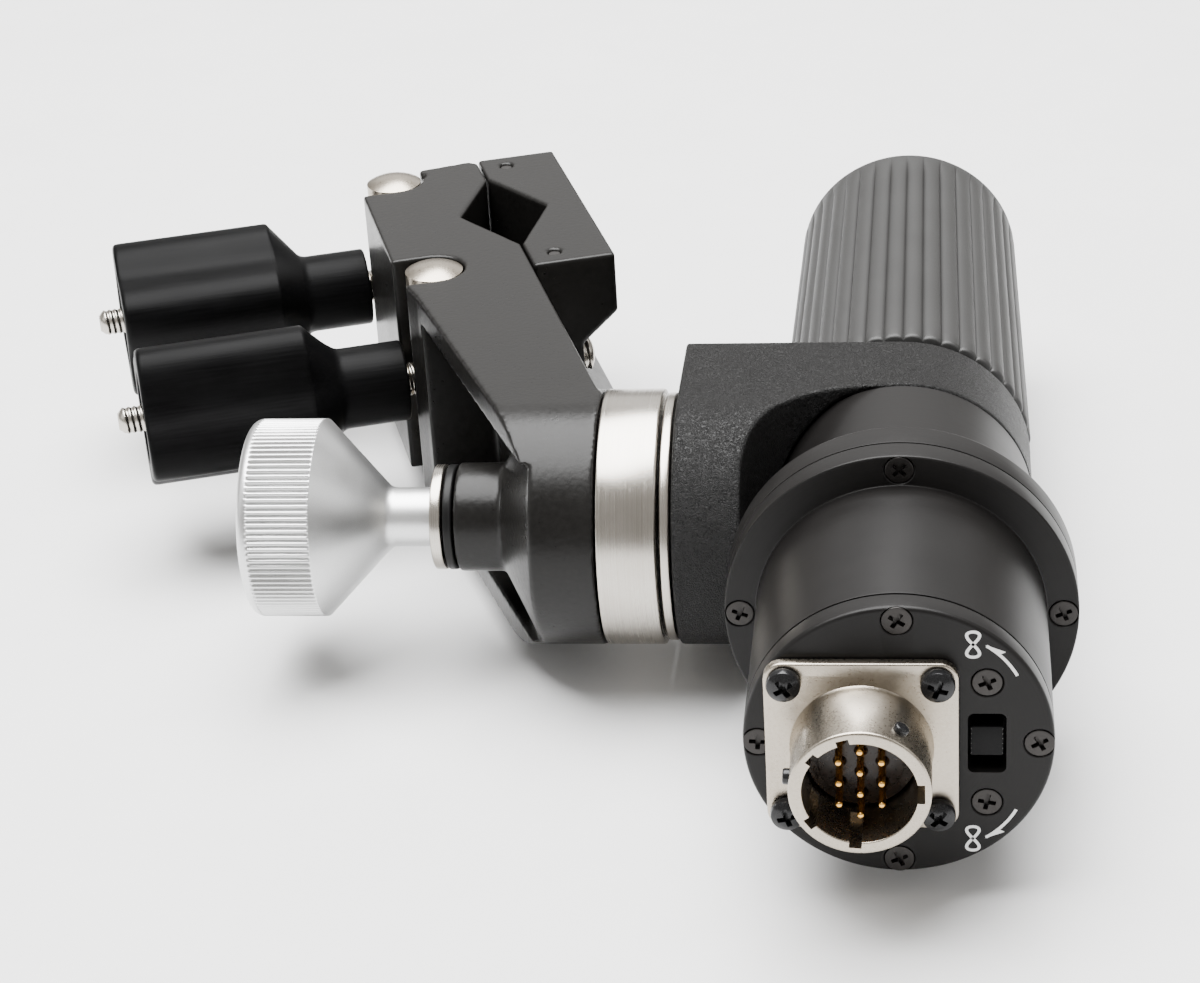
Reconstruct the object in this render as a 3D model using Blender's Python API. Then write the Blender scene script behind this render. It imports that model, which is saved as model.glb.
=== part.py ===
"""A hand controller for a motorised lens, on its swivelling bar clamp.

Sizes are in millimetres and become metres when a shape is made into an object. The design frame has its
origin on the grip's axis at the rear cover's outer face, +X to the right, +Y along the grip and +Z up. The
clamp's own frame has its origin on the swivel's axis, +X the way that the jaws close, and +Y along the arm.
At the end the whole assembly is moved so that the world's origin is at the middle of its underside.
"""

import math

import bmesh
import bpy
from mathutils import Matrix, Vector

MM = 0.001

# Clearances
SEAT = 0.3  # between two pieces that touch, and round a piece that turns or slides in another
HEAD_GAP = 0.15  # round a screw's head and shank
SWIVEL_GAP = 0.5  # the groove between the two swivel rings

# Rear cover, rear barrel and main housing, on the grip's axis
BARREL_R = 21.16
BARREL_WALL = 3.56
COVER_T = 4.0
COVER_CHAMFER = 0.6
BARREL_END_Y = 39.2
FLANGE_R = 25.85
FLANGE_START_Y = 35.0
FLANGE_END_Y = 44.8
HOUSING_R = 20.0
HOUSING_END_Y = 70.5
HOUSING_CAVITY_R = 15.6
SPIGOT_L = 6.2
BULKHEAD_Y = 57.0
BOARD_T = 1.6

# Screws in the rear cover and the flange
COVER_SCREW_PCD_R = 19.06
FLANGE_SCREW_PCD_R = 23.57
COVER_SCREW_HEAD_R = 2.05
FLANGE_SCREW_HEAD_R = 2.0
SWITCH_SCREW_HEAD_R = 2.0
SCREW_SHANK_R = 0.85
PAN_HEAD_R = 2.35
PAN_HEAD_H = 1.9

# Direction switch
SWITCH_X = 12.0
SWITCH_SCREW_Z = 9.54
SLOT_W = 5.2
SLOT_H = 9.4
SLIDER_W = 4.4
SLIDER_H = 4.6
SWITCH_BODY_W = 5.6
SWITCH_BODY_H = 14.0
SWITCH_BODY_D = 6.0
SWITCH_PLATE_T = 1.0
SWITCH_EAR_R = 1.9

# Connector
CONNECTOR_X = -4.88
CONNECTOR_Z = 0.44
CONNECTOR_FLANGE = 26.2
CONNECTOR_FLANGE_T = 1.6
CONNECTOR_CORNER_R = 2.6
CONNECTOR_SPACING = 20.62
SHELL_R = 9.525
SHELL_BORE_R = 7.7
SHELL_RIM_Y = -13.4
SHELL_REAR_R = 8.6
SHELL_REAR_Y = 8.0
KEYWAYS = ((0.0, 2.9), (105.0, 1.7), (140.0, 1.7), (215.0, 1.7), (265.0, 1.7))  # angle, width
KEYWAY_DEPTH = 0.9
STUD_ANGLES = (56.0, 176.0, 296.0)
STUD_R = 0.8
STUD_H = 0.9
STUD_BEHIND_RIM = 3.2
INSERT_FACE_Y = -5.2
INSERT_REAR_Y = 10.0
PIN_R = 0.5
PIN_GAP = 0.15
PIN_TIP_Y = -11.2
PIN_REAR_Y = 12.5
PIN_PITCH = 3.3

# Encoder and its gears, behind the bulkhead
GEAR_MODULE = 0.5
GEAR_TEETH = 26
PINION_TEETH = 14
GEAR_T = 2.4
PRESSURE_ANGLE = math.radians(25.0)
TOOTH_THINNING = 0.14
ENCODER_R = 5.2
ENCODER_L = 10.0
ENCODER_SHAFT_R = 1.5
ENCODER_PLATE_T = 2.0
PLATE_SHOULDER = 1.0

# Drive shaft and bearings
SHAFT_R = 4.0
GEAR_SEAT_R = 3.0
REAR_BEARING_R = 8.0
REAR_BEARING_W = 4.6
FRONT_BEARING_R = 9.5
FRONT_BEARING_W = 6.0
NUT_R = 6.5
NUT_T = 3.6

# Side bracket
HUB_R = 20.1
HUB_END_Y = 87.1
ARM_FACE_X = -34.5
ARM_INNER_X = -24.0
ARM_FILLET_R = 19.5
ARM_HALF_H = 20.0

# Grip
GRIP_START_Y = 88.3
GRIP_END_Y = 171.2
GRIP_BASE_R = 20.3
GRIP_TIP_R = 19.1
GRIP_RIBS = 40
GRIP_RIB_H = 0.8
SLEEVE_WALL = 3.0
CORE_WALL = 2.2
CORE_BASE_T = 6.0
CAP_T = 4.0

# Swivel, on an axis along X
TILT_Y = 65.5
SWIVEL_R = 20.0
BRACKET_RING_R = 19.4
BRACKET_RING_T = 1.5
ARM_RING_T = 9.1
RING_BORE_R = 14.0
BOLT_R = 3.0
BOLT_HEAD_R = 6.0
BOLT_HEAD_T = 3.7

# Clamp arm and fixed jaw
CLAMP_ANGLE = math.radians(18.5)
DISC_T = 9.8
CONE_L = 5.5
BOSS_R = 8.56
BOSS_L = 8.0
ARM_RIGHT = -43.0
ARM_LEFT_TOP = -64.2
ARM_LEFT_BASE = -58.0
WEB_T = 9.5
WEB_FLANGE_T = 4.5
POCKET_END_WALL = 8.0
CLAMP_HALF_H = 20.0
FIXED_JAW_LEFT = -65.8
JAW_CENTRE = 96.9
JAW_HALF_LENGTH = 26.1
JAW_TIP_CHAMFER = 1.4
V_HALF_WIDTH = 15.8
V_DEPTH = 7.6

# Moving jaw, rods, barrel pins and clamp knobs
JAW_T = 14.2
WAIST_DEPTH = 6.4
WAIST_HALF_H = 3.9
WAIST_TOP = 9.3
ROD_SPACING = 43.0
ROD_R = 3.0
ROD_PAST_WAIST = 2.4
ROD_STUB_R = 2.4
ROD_STUB_L = 4.2
JAW_PIN_R = 1.0
JAW_PIN_L = 24.0
BARREL_PIN_R = 5.0
BARREL_PIN_U = -59.3
BARREL_PIN_DOME = 1.4
KNOB_NECK_R = 7.0
KNOB_NECK_L = 11.5
KNOB_CONE_L = 5.5
KNOB_BODY_L = 28.5
KNOB_LOBE_R = 14.0
KNOB_VALLEY_R = 10.6
KNOB_LOBES = 4
KNOB_TURNS = (math.radians(24.0), math.radians(74.0))  # of each knob's first lobe, from +Z to the grip

# Lock knob
WASHER_R = 8.3
WASHER_T = 1.4
COLLAR_R = 8.28
COLLAR_T = 1.8
STEM_R = 4.7
STEM_L = 6.8
LOCK_CONE_L = 10.4
LOCK_R = 15.7
LOCK_RIM_L = 11.6
LOCK_EDGE_R = 1.6
LOCK_BORE_DEPTH = 24.0

# Places worked out from the sizes above
BARREL_BORE_R = BARREL_R - BARREL_WALL
SPIGOT_R = BARREL_BORE_R - SEAT
SPIGOT_START_Y = BARREL_END_Y + SEAT - SPIGOT_L
HOUSING_START_Y = BARREL_END_Y + SEAT
GEAR_DISTANCE = GEAR_MODULE * (GEAR_TEETH + PINION_TEETH) / 2
SHOULDER_Y = BULKHEAD_Y - GEAR_T - 1.0
PLATE_END_Y = SHOULDER_Y - SEAT
ENCODER_END_Y = PLATE_END_Y - ENCODER_PLATE_T - SEAT
HUB_START_Y = HOUSING_END_Y + SEAT
SLEEVE_BORE_R = GRIP_TIP_R - SLEEVE_WALL
CORE_R = SLEEVE_BORE_R - SEAT
CORE_END_Y = GRIP_END_Y - CAP_T
SHAFT_START_Y = SHOULDER_Y + SEAT
NUT_START_Y = GRIP_START_Y + CORE_BASE_T + 2 * SEAT
SHAFT_END_Y = NUT_START_Y + NUT_T + 1.5
RING_SPIGOT_R = RING_BORE_R - SEAT
BRACKET_RING_X = ARM_FACE_X - SEAT
ARM_RING_X = BRACKET_RING_X - BRACKET_RING_T - SWIVEL_GAP
DISC_X = ARM_RING_X - ARM_RING_T - SEAT
BOSS_END_X = DISC_X - DISC_T - CONE_L - BOSS_L
WASHER_X = BOSS_END_X - SEAT
COLLAR_X = WASHER_X - WASHER_T - SEAT
LOCK_X = COLLAR_X - COLLAR_T - SEAT
ROD_PLACES = (JAW_CENTRE + ROD_SPACING / 2, JAW_CENTRE - ROD_SPACING / 2)
JAW_INNER = ARM_RIGHT + SEAT
JAW_OUTER = JAW_INNER + JAW_T
WAIST_FACE = JAW_OUTER - WAIST_DEPTH
SLOT_R = BARREL_PIN_R + SEAT
KNOB_START = FIXED_JAW_LEFT - SEAT
KNOB_END = KNOB_START - KNOB_NECK_L - KNOB_CONE_L - KNOB_BODY_L

AXES = {"X": Vector((1, 0, 0)), "Y": Vector((0, 1, 0)), "Z": Vector((0, 0, 1))}
SIDES = {"X": Vector((0, 1, 0)), "Y": Vector((1, 0, 0)), "Z": Vector((1, 0, 0))}


# Outlines


def arc(centre, radius, start, end, steps):
    """Points of an arc from start to end, in degrees."""
    angles = [math.radians(start + (end - start) * i / steps) for i in range(steps + 1)]
    return [(centre[0] + radius * math.cos(a), centre[1] + radius * math.sin(a)) for a in angles]


def rounded_box(width, height, radius, steps=4, centre=(0.0, 0.0)):
    """Outline of a rectangle with round corners."""
    x, y = width / 2 - radius, height / 2 - radius
    corners = ((x, y, 0), (-x, y, 90), (-x, -y, 180), (x, -y, 270))
    points = []
    for dx, dy, start in corners:
        points += arc((centre[0] + dx, centre[1] + dy), radius, start, start + 90, steps)
    return points


def gear_outline(teeth, phase):
    """Outline of a spur gear, with a tooth centred at the angle phase."""
    pitch_r = GEAR_MODULE * teeth / 2
    base_r = pitch_r * math.cos(PRESSURE_ANGLE)
    root_r = pitch_r - 1.25 * GEAR_MODULE
    tip_r = pitch_r + GEAR_MODULE
    half_pitch_angle = (math.pi * GEAR_MODULE / 2 - TOOTH_THINNING) / (2 * pitch_r)

    def half_angle(radius):
        flank = math.acos(min(1.0, base_r / radius))
        involute = math.tan(flank) - flank
        at_pitch = math.tan(PRESSURE_ANGLE) - PRESSURE_ANGLE
        return half_pitch_angle + at_pitch - involute

    points = []
    for tooth in range(teeth):
        middle = phase + 2 * math.pi * tooth / teeth
        flank = [(r, half_angle(r)) for r in (root_r, pitch_r, tip_r)]
        sides = [(r, -a) for r, a in flank] + [(r, a) for r, a in reversed(flank)]
        points += [(r * math.cos(middle + a), r * math.sin(middle + a)) for r, a in sides]
    return points


# Shapes, as bmeshes in millimetres


def lathe(axis, profile, steps=36):
    """Turned shape from a closed profile of (radius, place along the axis) points."""
    bm = bmesh.new()
    verts = [bm.verts.new(SIDES[axis] * r + AXES[axis] * a) for r, a in profile]
    closed = profile + profile[:1]
    edges = []
    for i, ((r, _), (next_r, _)) in enumerate(zip(closed, closed[1:])):
        if r > 0 or next_r > 0:
            edges.append(bm.edges.new((verts[i], verts[(i + 1) % len(verts)])))
    around_axis = {"cent": (0, 0, 0), "axis": AXES[axis], "angle": 2 * math.pi}
    bmesh.ops.spin(bm, geom=verts + edges, steps=steps, use_merge=True, **around_axis)
    return bm


def rod(axis, radius, low, high, steps=24):
    """Plain cylinder along an axis."""
    return lathe(axis, [(0, low), (radius, low), (radius, high), (0, high)], steps)


def ring(axis, outer, inner, low, high, steps=36):
    """Plain ring along an axis."""
    return lathe(axis, [(inner, low), (outer, low), (outer, high), (inner, high)], steps)


def prism(axis, outline, low, high):
    """Outline extruded along an axis: its points are (x, y) for Z, (x, z) for Y and (y, z) for X."""
    bm = bmesh.new()
    first = SIDES[axis]
    second = {"X": AXES["Z"], "Y": AXES["Z"], "Z": AXES["Y"]}[axis]
    verts = [bm.verts.new(first * a + second * b + AXES[axis] * low) for a, b in outline]
    face = bm.faces.new(verts)
    top = bmesh.ops.extrude_face_region(bm, geom=[face])["geom"]
    moved = [v for v in top if isinstance(v, bmesh.types.BMVert)]
    bmesh.ops.translate(bm, vec=AXES[axis] * (high - low), verts=moved)
    return bm


def block(low, high):
    """Box between two corners."""
    outline = [(low[0], low[1]), (high[0], low[1]), (high[0], high[1]), (low[0], high[1])]
    return prism("Z", outline, low[2], high[2])


def shifted(bm, x=0.0, y=0.0, z=0.0):
    """The same shape moved."""
    bmesh.ops.translate(bm, vec=(x, y, z), verts=bm.verts)
    return bm


def turned_by(bm, angle, axis):
    """The same shape turned about an axis through the origin."""
    bmesh.ops.rotate(bm, cent=(0, 0, 0), matrix=Matrix.Rotation(angle, 3, axis), verts=bm.verts)
    return bm


# Objects


def finish(name, colour, roughness, metallic=0.0):
    """Principled material of one colour."""
    material = bpy.data.materials.new(name)
    material.use_nodes = True
    shader = material.node_tree.nodes["Principled BSDF"]
    shader.inputs["Base Color"].default_value = (*colour, 1.0)
    shader.inputs["Roughness"].default_value = roughness
    shader.inputs["Metallic"].default_value = metallic
    return material


def mesh_from(name, shapes):
    """One mesh in metres from several shapes that don't overlap."""
    whole = bmesh.new()
    for shape in shapes:
        bmesh.ops.remove_doubles(shape, verts=shape.verts, dist=0.0005)
        bmesh.ops.recalc_face_normals(shape, faces=shape.faces)
        part = bpy.data.meshes.new(name)
        shape.to_mesh(part)
        shape.free()
        whole.from_mesh(part)
        bpy.data.meshes.remove(part)
    bmesh.ops.scale(whole, vec=(MM, MM, MM), verts=whole.verts)
    mesh = bpy.data.meshes.new(name)
    whole.to_mesh(mesh)
    whole.free()
    return mesh


def piece(name, shape, material, parent, at=(0.0, 0.0, 0.0)):
    """Named sub-part made of one shape, placed under its parent."""
    mesh = mesh_from(name, [shape])
    mesh.materials.append(material)
    mesh.shade_smooth()
    mesh.set_sharp_from_angle(angle=math.radians(30))
    obj = bpy.data.objects.new(name, mesh)
    bpy.context.scene.collection.objects.link(obj)
    obj.parent = parent
    obj.location = Vector(at) * MM
    return obj


def combine(obj, operation, shapes):
    """Boolean of the object with shapes that are given in the object's own frame."""
    name = f"{obj.name}_{operation.lower()}_{len(obj.modifiers)}"
    helper = bpy.data.objects.new(name, mesh_from(name, shapes))
    bpy.context.scene.collection.objects.link(helper)
    helper.parent = obj.parent
    helper.location = obj.location
    helper.hide_render = True
    helper.display_type = "WIRE"
    modifier = obj.modifiers.new(name, "BOOLEAN")
    modifier.operation = operation
    modifier.object = helper


def cut(obj, *shapes):
    """Shapes taken out of the object."""
    combine(obj, "DIFFERENCE", shapes)


def join(obj, *shapes):
    """Shapes added to the object."""
    combine(obj, "UNION", shapes)


def empty(name, parent=None, at=(0.0, 0.0, 0.0), turn=0.0):
    """Axis or frame that pieces are parented to, turned about Z."""
    obj = bpy.data.objects.new(name, None)
    bpy.context.scene.collection.objects.link(obj)
    obj.empty_display_size = 10 * MM
    obj.parent = parent
    obj.location = Vector(at) * MM
    obj.rotation_euler = (0, 0, turn)
    return obj


# Screws, all along Y with their heads to the rear


def around(radius, count, start=0.0):
    """Places on a circle round the grip's axis, as (x, z)."""
    angles = [start + 2 * math.pi * i / count for i in range(count)]
    return [(radius * math.cos(a), radius * math.sin(a)) for a in angles]


def countersunk_profile(head_r, shank_r, length, gap=0.0, above=0.0):
    """Profile of a flush screw, or of its hole where a gap is given."""
    land = 0.25
    outer, inner = head_r + gap, shank_r + gap
    cone_end = land + (head_r - shank_r)
    end = length + gap
    return [(0, -above), (outer, -above), (outer, land), (inner, cone_end), (inner, end), (0, end)]


def cross_recess(radius, depth):
    """Cross that a screwdriver fits, sunk from the plane y = 0."""
    half, width = 0.62 * radius, 0.17 * radius
    outline = [
        (half, -width), (half, width), (width, width), (width, half), (-width, half), (-width, width),
        (-half, width), (-half, -width), (-width, -width), (-width, -half), (width, -half), (width, -width),
    ]  # fmt: skip
    return prism("Y", outline, -1.0, depth)


def countersunk_screw(name, head_r, length, material, parent, at):
    """Flush screw with a cross recess."""
    profile = countersunk_profile(head_r, SCREW_SHANK_R, length)
    screw = piece(name, lathe("Y", profile, 10), material, parent, at)
    cut(screw, cross_recess(head_r, 0.8))


def screw_hole(head_r, length, place, y=0.0):
    """Countersunk hole for a flush screw."""
    profile = countersunk_profile(head_r, SCREW_SHANK_R, length, HEAD_GAP, 1.0)
    return shifted(lathe("Y", profile, 10), place[0], y, place[1])


def plain_hole(radius, place, low, high, steps=10):
    """Straight hole along Y."""
    return shifted(rod("Y", radius, low, high, steps), place[0], 0.0, place[1])


def screws(material, parent):
    """Every screw that shows: in the cover, the switch, the flange and the connector."""
    for number, (x, z) in enumerate(around(COVER_SCREW_PCD_R, 4), 1):
        countersunk_screw(f"cover_screw_{number}", COVER_SCREW_HEAD_R, 8.5, material, parent, (x, 0.05, z))
    for number, (x, z) in enumerate(switch_screw_places(), 1):
        countersunk_screw(f"switch_screw_{number}", SWITCH_SCREW_HEAD_R, 6.0, material, parent, (x, 0.05, z))
    for number, (x, z) in enumerate(around(FLANGE_SCREW_PCD_R, 4), 1):
        at = (x, FLANGE_START_Y + 0.05, z)
        countersunk_screw(f"flange_screw_{number}", FLANGE_SCREW_HEAD_R, 8.0, material, parent, at)
    head_back = -SEAT - CONNECTOR_FLANGE_T - SEAT
    head_top = head_back - PAN_HEAD_H
    profile = [
        (0, head_top), (0.6 * PAN_HEAD_R, head_top), (PAN_HEAD_R, head_top + 0.7 * PAN_HEAD_H),
        (PAN_HEAD_R, head_back), (SCREW_SHANK_R, head_back), (SCREW_SHANK_R, COVER_T - 2 * SEAT),
        (0, COVER_T - 2 * SEAT),
    ]  # fmt: skip
    for number, (x, z) in enumerate(connector_screw_places(), 1):
        screw = piece(f"connector_screw_{number}", lathe("Y", profile, 10), material, parent, (x, 0, z))
        cut(screw, shifted(cross_recess(PAN_HEAD_R, 0.9), 0, head_top, 0))


# Housing


def rear_cover(material, parent):
    """Disc that closes the barrel and carries the connector and the switch."""
    profile = [(0, 0), (BARREL_R - COVER_CHAMFER, 0), (BARREL_R, COVER_CHAMFER), (BARREL_R, COVER_T - SEAT)]
    cover = piece("rear_cover", lathe("Y", profile + [(0, COVER_T - SEAT)]), material, parent)
    cover_holes = [screw_hole(COVER_SCREW_HEAD_R, 9, place) for place in around(COVER_SCREW_PCD_R, 4)]
    switch_holes = [screw_hole(SWITCH_SCREW_HEAD_R, 9, place) for place in switch_screw_places()]
    slot = prism("Y", rounded_box(SLOT_W, SLOT_H, 0.8, 3, (SWITCH_X, 0)), -1, COVER_T + 1)
    shell_hole = plain_hole(SHELL_REAR_R + SEAT, (CONNECTOR_X, CONNECTOR_Z), -1, COVER_T + 1, 36)
    cut(cover, *cover_holes, *switch_holes, slot, shell_hole, *connector_screw_holes(-1, COVER_T + 1))


def rear_barrel(material, parent):
    """Tube behind the flange, with the flange's rear half."""
    profile = [
        (BARREL_BORE_R, COVER_T), (BARREL_R, COVER_T), (BARREL_R, FLANGE_START_Y),
        (FLANGE_R, FLANGE_START_Y), (FLANGE_R, BARREL_END_Y), (BARREL_BORE_R, BARREL_END_Y),
    ]  # fmt: skip
    barrel = piece("rear_barrel", lathe("Y", profile), material, parent)
    thread_holes = [
        plain_hole(SCREW_SHANK_R + HEAD_GAP, place, COVER_T - 1, 9.5) for place in around(COVER_SCREW_PCD_R, 4)
    ]
    flange_holes = [
        screw_hole(FLANGE_SCREW_HEAD_R, 9, place, FLANGE_START_Y) for place in around(FLANGE_SCREW_PCD_R, 4)
    ]
    cut(barrel, *thread_holes, *flange_holes)


def main_housing(material, parent):
    """Front half of the flange and the upper cylinder, with the bulkhead for the rear bearing."""
    shaft_hole_r = SHAFT_R + 2 * SEAT
    pocket_r = REAR_BEARING_R + SEAT
    pocket_end = BULKHEAD_Y + REAR_BEARING_W + 2 * SEAT
    shoulder_r = HOUSING_CAVITY_R - PLATE_SHOULDER
    profile = [
        (HOUSING_CAVITY_R, SPIGOT_START_Y), (SPIGOT_R, SPIGOT_START_Y), (SPIGOT_R, HOUSING_START_Y),
        (FLANGE_R, HOUSING_START_Y), (FLANGE_R, FLANGE_END_Y - 0.5), (FLANGE_R - 0.5, FLANGE_END_Y),
        (HOUSING_R, FLANGE_END_Y), (HOUSING_R, HOUSING_END_Y), (shaft_hole_r, HOUSING_END_Y),
        (shaft_hole_r, pocket_end), (pocket_r, pocket_end), (pocket_r, BULKHEAD_Y),
        (shoulder_r, BULKHEAD_Y), (shoulder_r, SHOULDER_Y), (HOUSING_CAVITY_R, SHOULDER_Y),
    ]  # fmt: skip
    housing = piece("main_housing", lathe("Y", profile), material, parent)
    depth = FLANGE_END_Y - 1.0
    holes = [
        plain_hole(SCREW_SHANK_R + HEAD_GAP, place, HOUSING_START_Y - 1, depth)
        for place in around(FLANGE_SCREW_PCD_R, 4)
    ]
    cut(housing, *holes)


def side_bracket(material, parent):
    """Casting whose hub closes the housing and whose arm reaches forward to the swivel."""
    fillet_x, fillet_y = ARM_INNER_X + ARM_FILLET_R, HOUSING_END_Y - ARM_FILLET_R
    front_y = TILT_Y - ARM_HALF_H
    plan = [(ARM_FACE_X, front_y - 1), (ARM_INNER_X, front_y - 1)]
    plan += arc((fillet_x, fillet_y), ARM_FILLET_R, 180, 90, 10)
    plan += [(0, HOUSING_END_Y), (0, HUB_END_Y), (ARM_FACE_X, HUB_END_Y)]
    bracket = piece("side_bracket", prism("Z", plan, -ARM_HALF_H, ARM_HALF_H), material, parent)
    side = arc((TILT_Y, 0), ARM_HALF_H, 270, 90, 20) + [(HUB_END_Y + 1, ARM_HALF_H), (HUB_END_Y + 1, -ARM_HALF_H)]
    combine(bracket, "INTERSECT", [prism("X", side, ARM_FACE_X - 1, 1)])
    hub_edge = 0.5
    hub = [(0, HUB_START_Y), (HUB_R, HUB_START_Y), (HUB_R, HUB_END_Y - hub_edge)]
    join(bracket, lathe("Y", hub + [(HUB_R - hub_edge, HUB_END_Y), (0, HUB_END_Y)]))
    spigot_end = BRACKET_RING_X - BRACKET_RING_T
    join(bracket, shifted(rod("X", RING_SPIGOT_R, spigot_end, ARM_FACE_X + 2, 36), 0, TILT_Y, 0))
    housing_room = rod("Y", HOUSING_R + SEAT, FLANGE_END_Y - 5, HUB_START_Y, 36)
    cut(bracket, housing_room)
    pocket = rod("Y", FRONT_BEARING_R + SEAT, HUB_END_Y - FRONT_BEARING_W - 2 * SEAT, HUB_END_Y + 1, 32)
    cut(bracket, pocket)
    cut(bracket, rod("Y", SHAFT_R + 2 * SEAT, HOUSING_END_Y - 1, HUB_END_Y, 24))
    bolt_room = [
        (0, ARM_INNER_X + 1), (BOLT_HEAD_R + SEAT, ARM_INNER_X + 1),
        (BOLT_HEAD_R + SEAT, ARM_INNER_X - BOLT_HEAD_T - 2 * SEAT),
        (BOLT_R + SEAT, ARM_INNER_X - BOLT_HEAD_T - 2 * SEAT),
        (BOLT_R + SEAT, spigot_end - 1), (0, spigot_end - 1),
    ]  # fmt: skip
    cut(bracket, shifted(lathe("X", bolt_room, 24), 0, TILT_Y, 0))


# Connector


def connector_screw_places():
    """Centres of the four connector screws, as (x, z)."""
    half = CONNECTOR_SPACING / 2
    return [(CONNECTOR_X + sx * half, CONNECTOR_Z + sz * half) for sx in (-1, 1) for sz in (-1, 1)]


def connector_screw_holes(low, high):
    """Straight holes for the connector screws."""
    return [plain_hole(SCREW_SHANK_R + HEAD_GAP, place, low, high) for place in connector_screw_places()]


def connector(shell_finish, insert_finish, pin_finish, parent):
    """Box receptacle: shell with flange, key ways and studs, insert, and ten pins."""
    centre = (CONNECTOR_X, 0, CONNECTOR_Z)
    flange_back, flange_front = -SEAT, -SEAT - CONNECTOR_FLANGE_T
    insert_r = SHELL_BORE_R - SEAT
    profile = [
        (SHELL_BORE_R, SHELL_RIM_Y), (SHELL_R, SHELL_RIM_Y), (SHELL_R, flange_front + 0.5),
        (SHELL_REAR_R, flange_front + 0.5), (SHELL_REAR_R, SHELL_REAR_Y), (SHELL_BORE_R, SHELL_REAR_Y),
    ]  # fmt: skip
    shell = piece("connector_shell", lathe("Y", profile, 36), shell_finish, parent, centre)
    square = rounded_box(CONNECTOR_FLANGE, CONNECTOR_FLANGE, CONNECTOR_CORNER_R, 3)
    flange = prism("Y", square, flange_front, flange_back)
    join(shell, flange)
    cut(shell, rod("Y", SHELL_BORE_R, SHELL_RIM_Y - 1, SHELL_REAR_Y + 1, 36))
    reach = SHELL_BORE_R + KEYWAY_DEPTH
    key_ways = []
    for angle, width in KEYWAYS:
        low, high = (SHELL_BORE_R - 1.5, SHELL_RIM_Y - 1, -width / 2), (reach, INSERT_FACE_Y - 1, width / 2)
        key_ways.append(turned_by(block(low, high), -math.radians(angle), "Y"))
    cut(shell, *key_ways)
    half = CONNECTOR_SPACING / 2
    holes = [
        shifted(rod("Y", SCREW_SHANK_R + HEAD_GAP, -5, 1, 10), sx * half, 0, sz * half)
        for sx in (-1, 1)
        for sz in (-1, 1)
    ]
    cut(shell, *holes)
    studs = []
    for angle in STUD_ANGLES:
        stud = rod("X", STUD_R, SHELL_R - 0.5, SHELL_R + STUD_H, 10)
        stud = shifted(stud, 0, SHELL_RIM_Y + STUD_BEHIND_RIM, 0)
        studs.append(turned_by(stud, -math.radians(angle), "Y"))
    join(shell, *studs)

    insert = rod("Y", insert_r, INSERT_FACE_Y, INSERT_REAR_Y, 32)
    insert = piece("connector_insert", insert, insert_finish, parent, centre)
    hole_ends = (INSERT_FACE_Y - 1, INSERT_REAR_Y + 1)
    cut(insert, *[plain_hole(PIN_R + PIN_GAP, place, *hole_ends, 6) for place in pin_places()])
    tip = [
        (0, PIN_TIP_Y), (0.6 * PIN_R, PIN_TIP_Y), (PIN_R, PIN_TIP_Y + 0.6), (PIN_R, PIN_REAR_Y), (0, PIN_REAR_Y),
    ]  # fmt: skip
    for number, (x, z) in enumerate(pin_places(), 1):
        at = (CONNECTOR_X + x, 0, CONNECTOR_Z + z)
        piece(f"contact_pin_{number:02d}", lathe("Y", tip, 6), pin_finish, parent, at)


def pin_places():
    """Ten pins in three columns of 3, 4 and 3, on a hexagonal grid, from the connector's centre."""
    places = []
    for column, count in ((-1, 3), (0, 4), (1, 3)):
        x = column * PIN_PITCH * math.sin(math.radians(60))
        places += [(x, PIN_PITCH * (row - (count - 1) / 2)) for row in range(count)]
    return places


# Direction switch and electronics


def switch_screw_places():
    """Centres of the two switch screws, as (x, z)."""
    return [(SWITCH_X, SWITCH_SCREW_Z), (SWITCH_X, -SWITCH_SCREW_Z)]


def direction_switch(body_finish, slider_finish, parent):
    """Slide switch behind the cover, with its ribbed slider in the cover's slot."""
    plate = arc((0, SWITCH_SCREW_Z), SWITCH_EAR_R, 0, 180, 6) + arc((0, -SWITCH_SCREW_Z), SWITCH_EAR_R, 180, 360, 6)
    body_at = (SWITCH_X, COVER_T, 0)
    body = piece("switch_body", prism("Y", plate, 0, SWITCH_PLATE_T), body_finish, parent, body_at)
    half_w, half_h = SWITCH_BODY_W / 2, SWITCH_BODY_H / 2
    join(body, block((-half_w, 0.2, -half_h), (half_w, SWITCH_BODY_D, half_h)))
    travel_room = SLOT_H / 2
    stem_room = block((-1.2, -1, -travel_room), (1.2, 2.4, travel_room))
    hole_r = SCREW_SHANK_R + HEAD_GAP
    cut(body, stem_room, *[plain_hole(hole_r, (0, z), -1, 9) for z in (SWITCH_SCREW_Z, -SWITCH_SCREW_Z)])
    top, base = 0.2, COVER_T - SEAT
    ribs, groove = 6, 0.3
    pitch = SLIDER_H / ribs
    outline = [(base, -SLIDER_H / 2)]
    for rib in range(ribs):
        low = -SLIDER_H / 2 + rib * pitch
        outline += [(top + groove, low), (top, low + 0.25 * pitch), (top, low + 0.75 * pitch)]
    outline += [(top + groove, SLIDER_H / 2), (base, SLIDER_H / 2)]
    slider = prism("X", outline, -SLIDER_W / 2, SLIDER_W / 2)
    slider = piece("switch_slider", slider, slider_finish, parent, (SWITCH_X, 0, 0))
    join(slider, block((-0.9, base - 0.5, -1.2), (0.9, COVER_T + 1.8, 1.2)))


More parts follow.
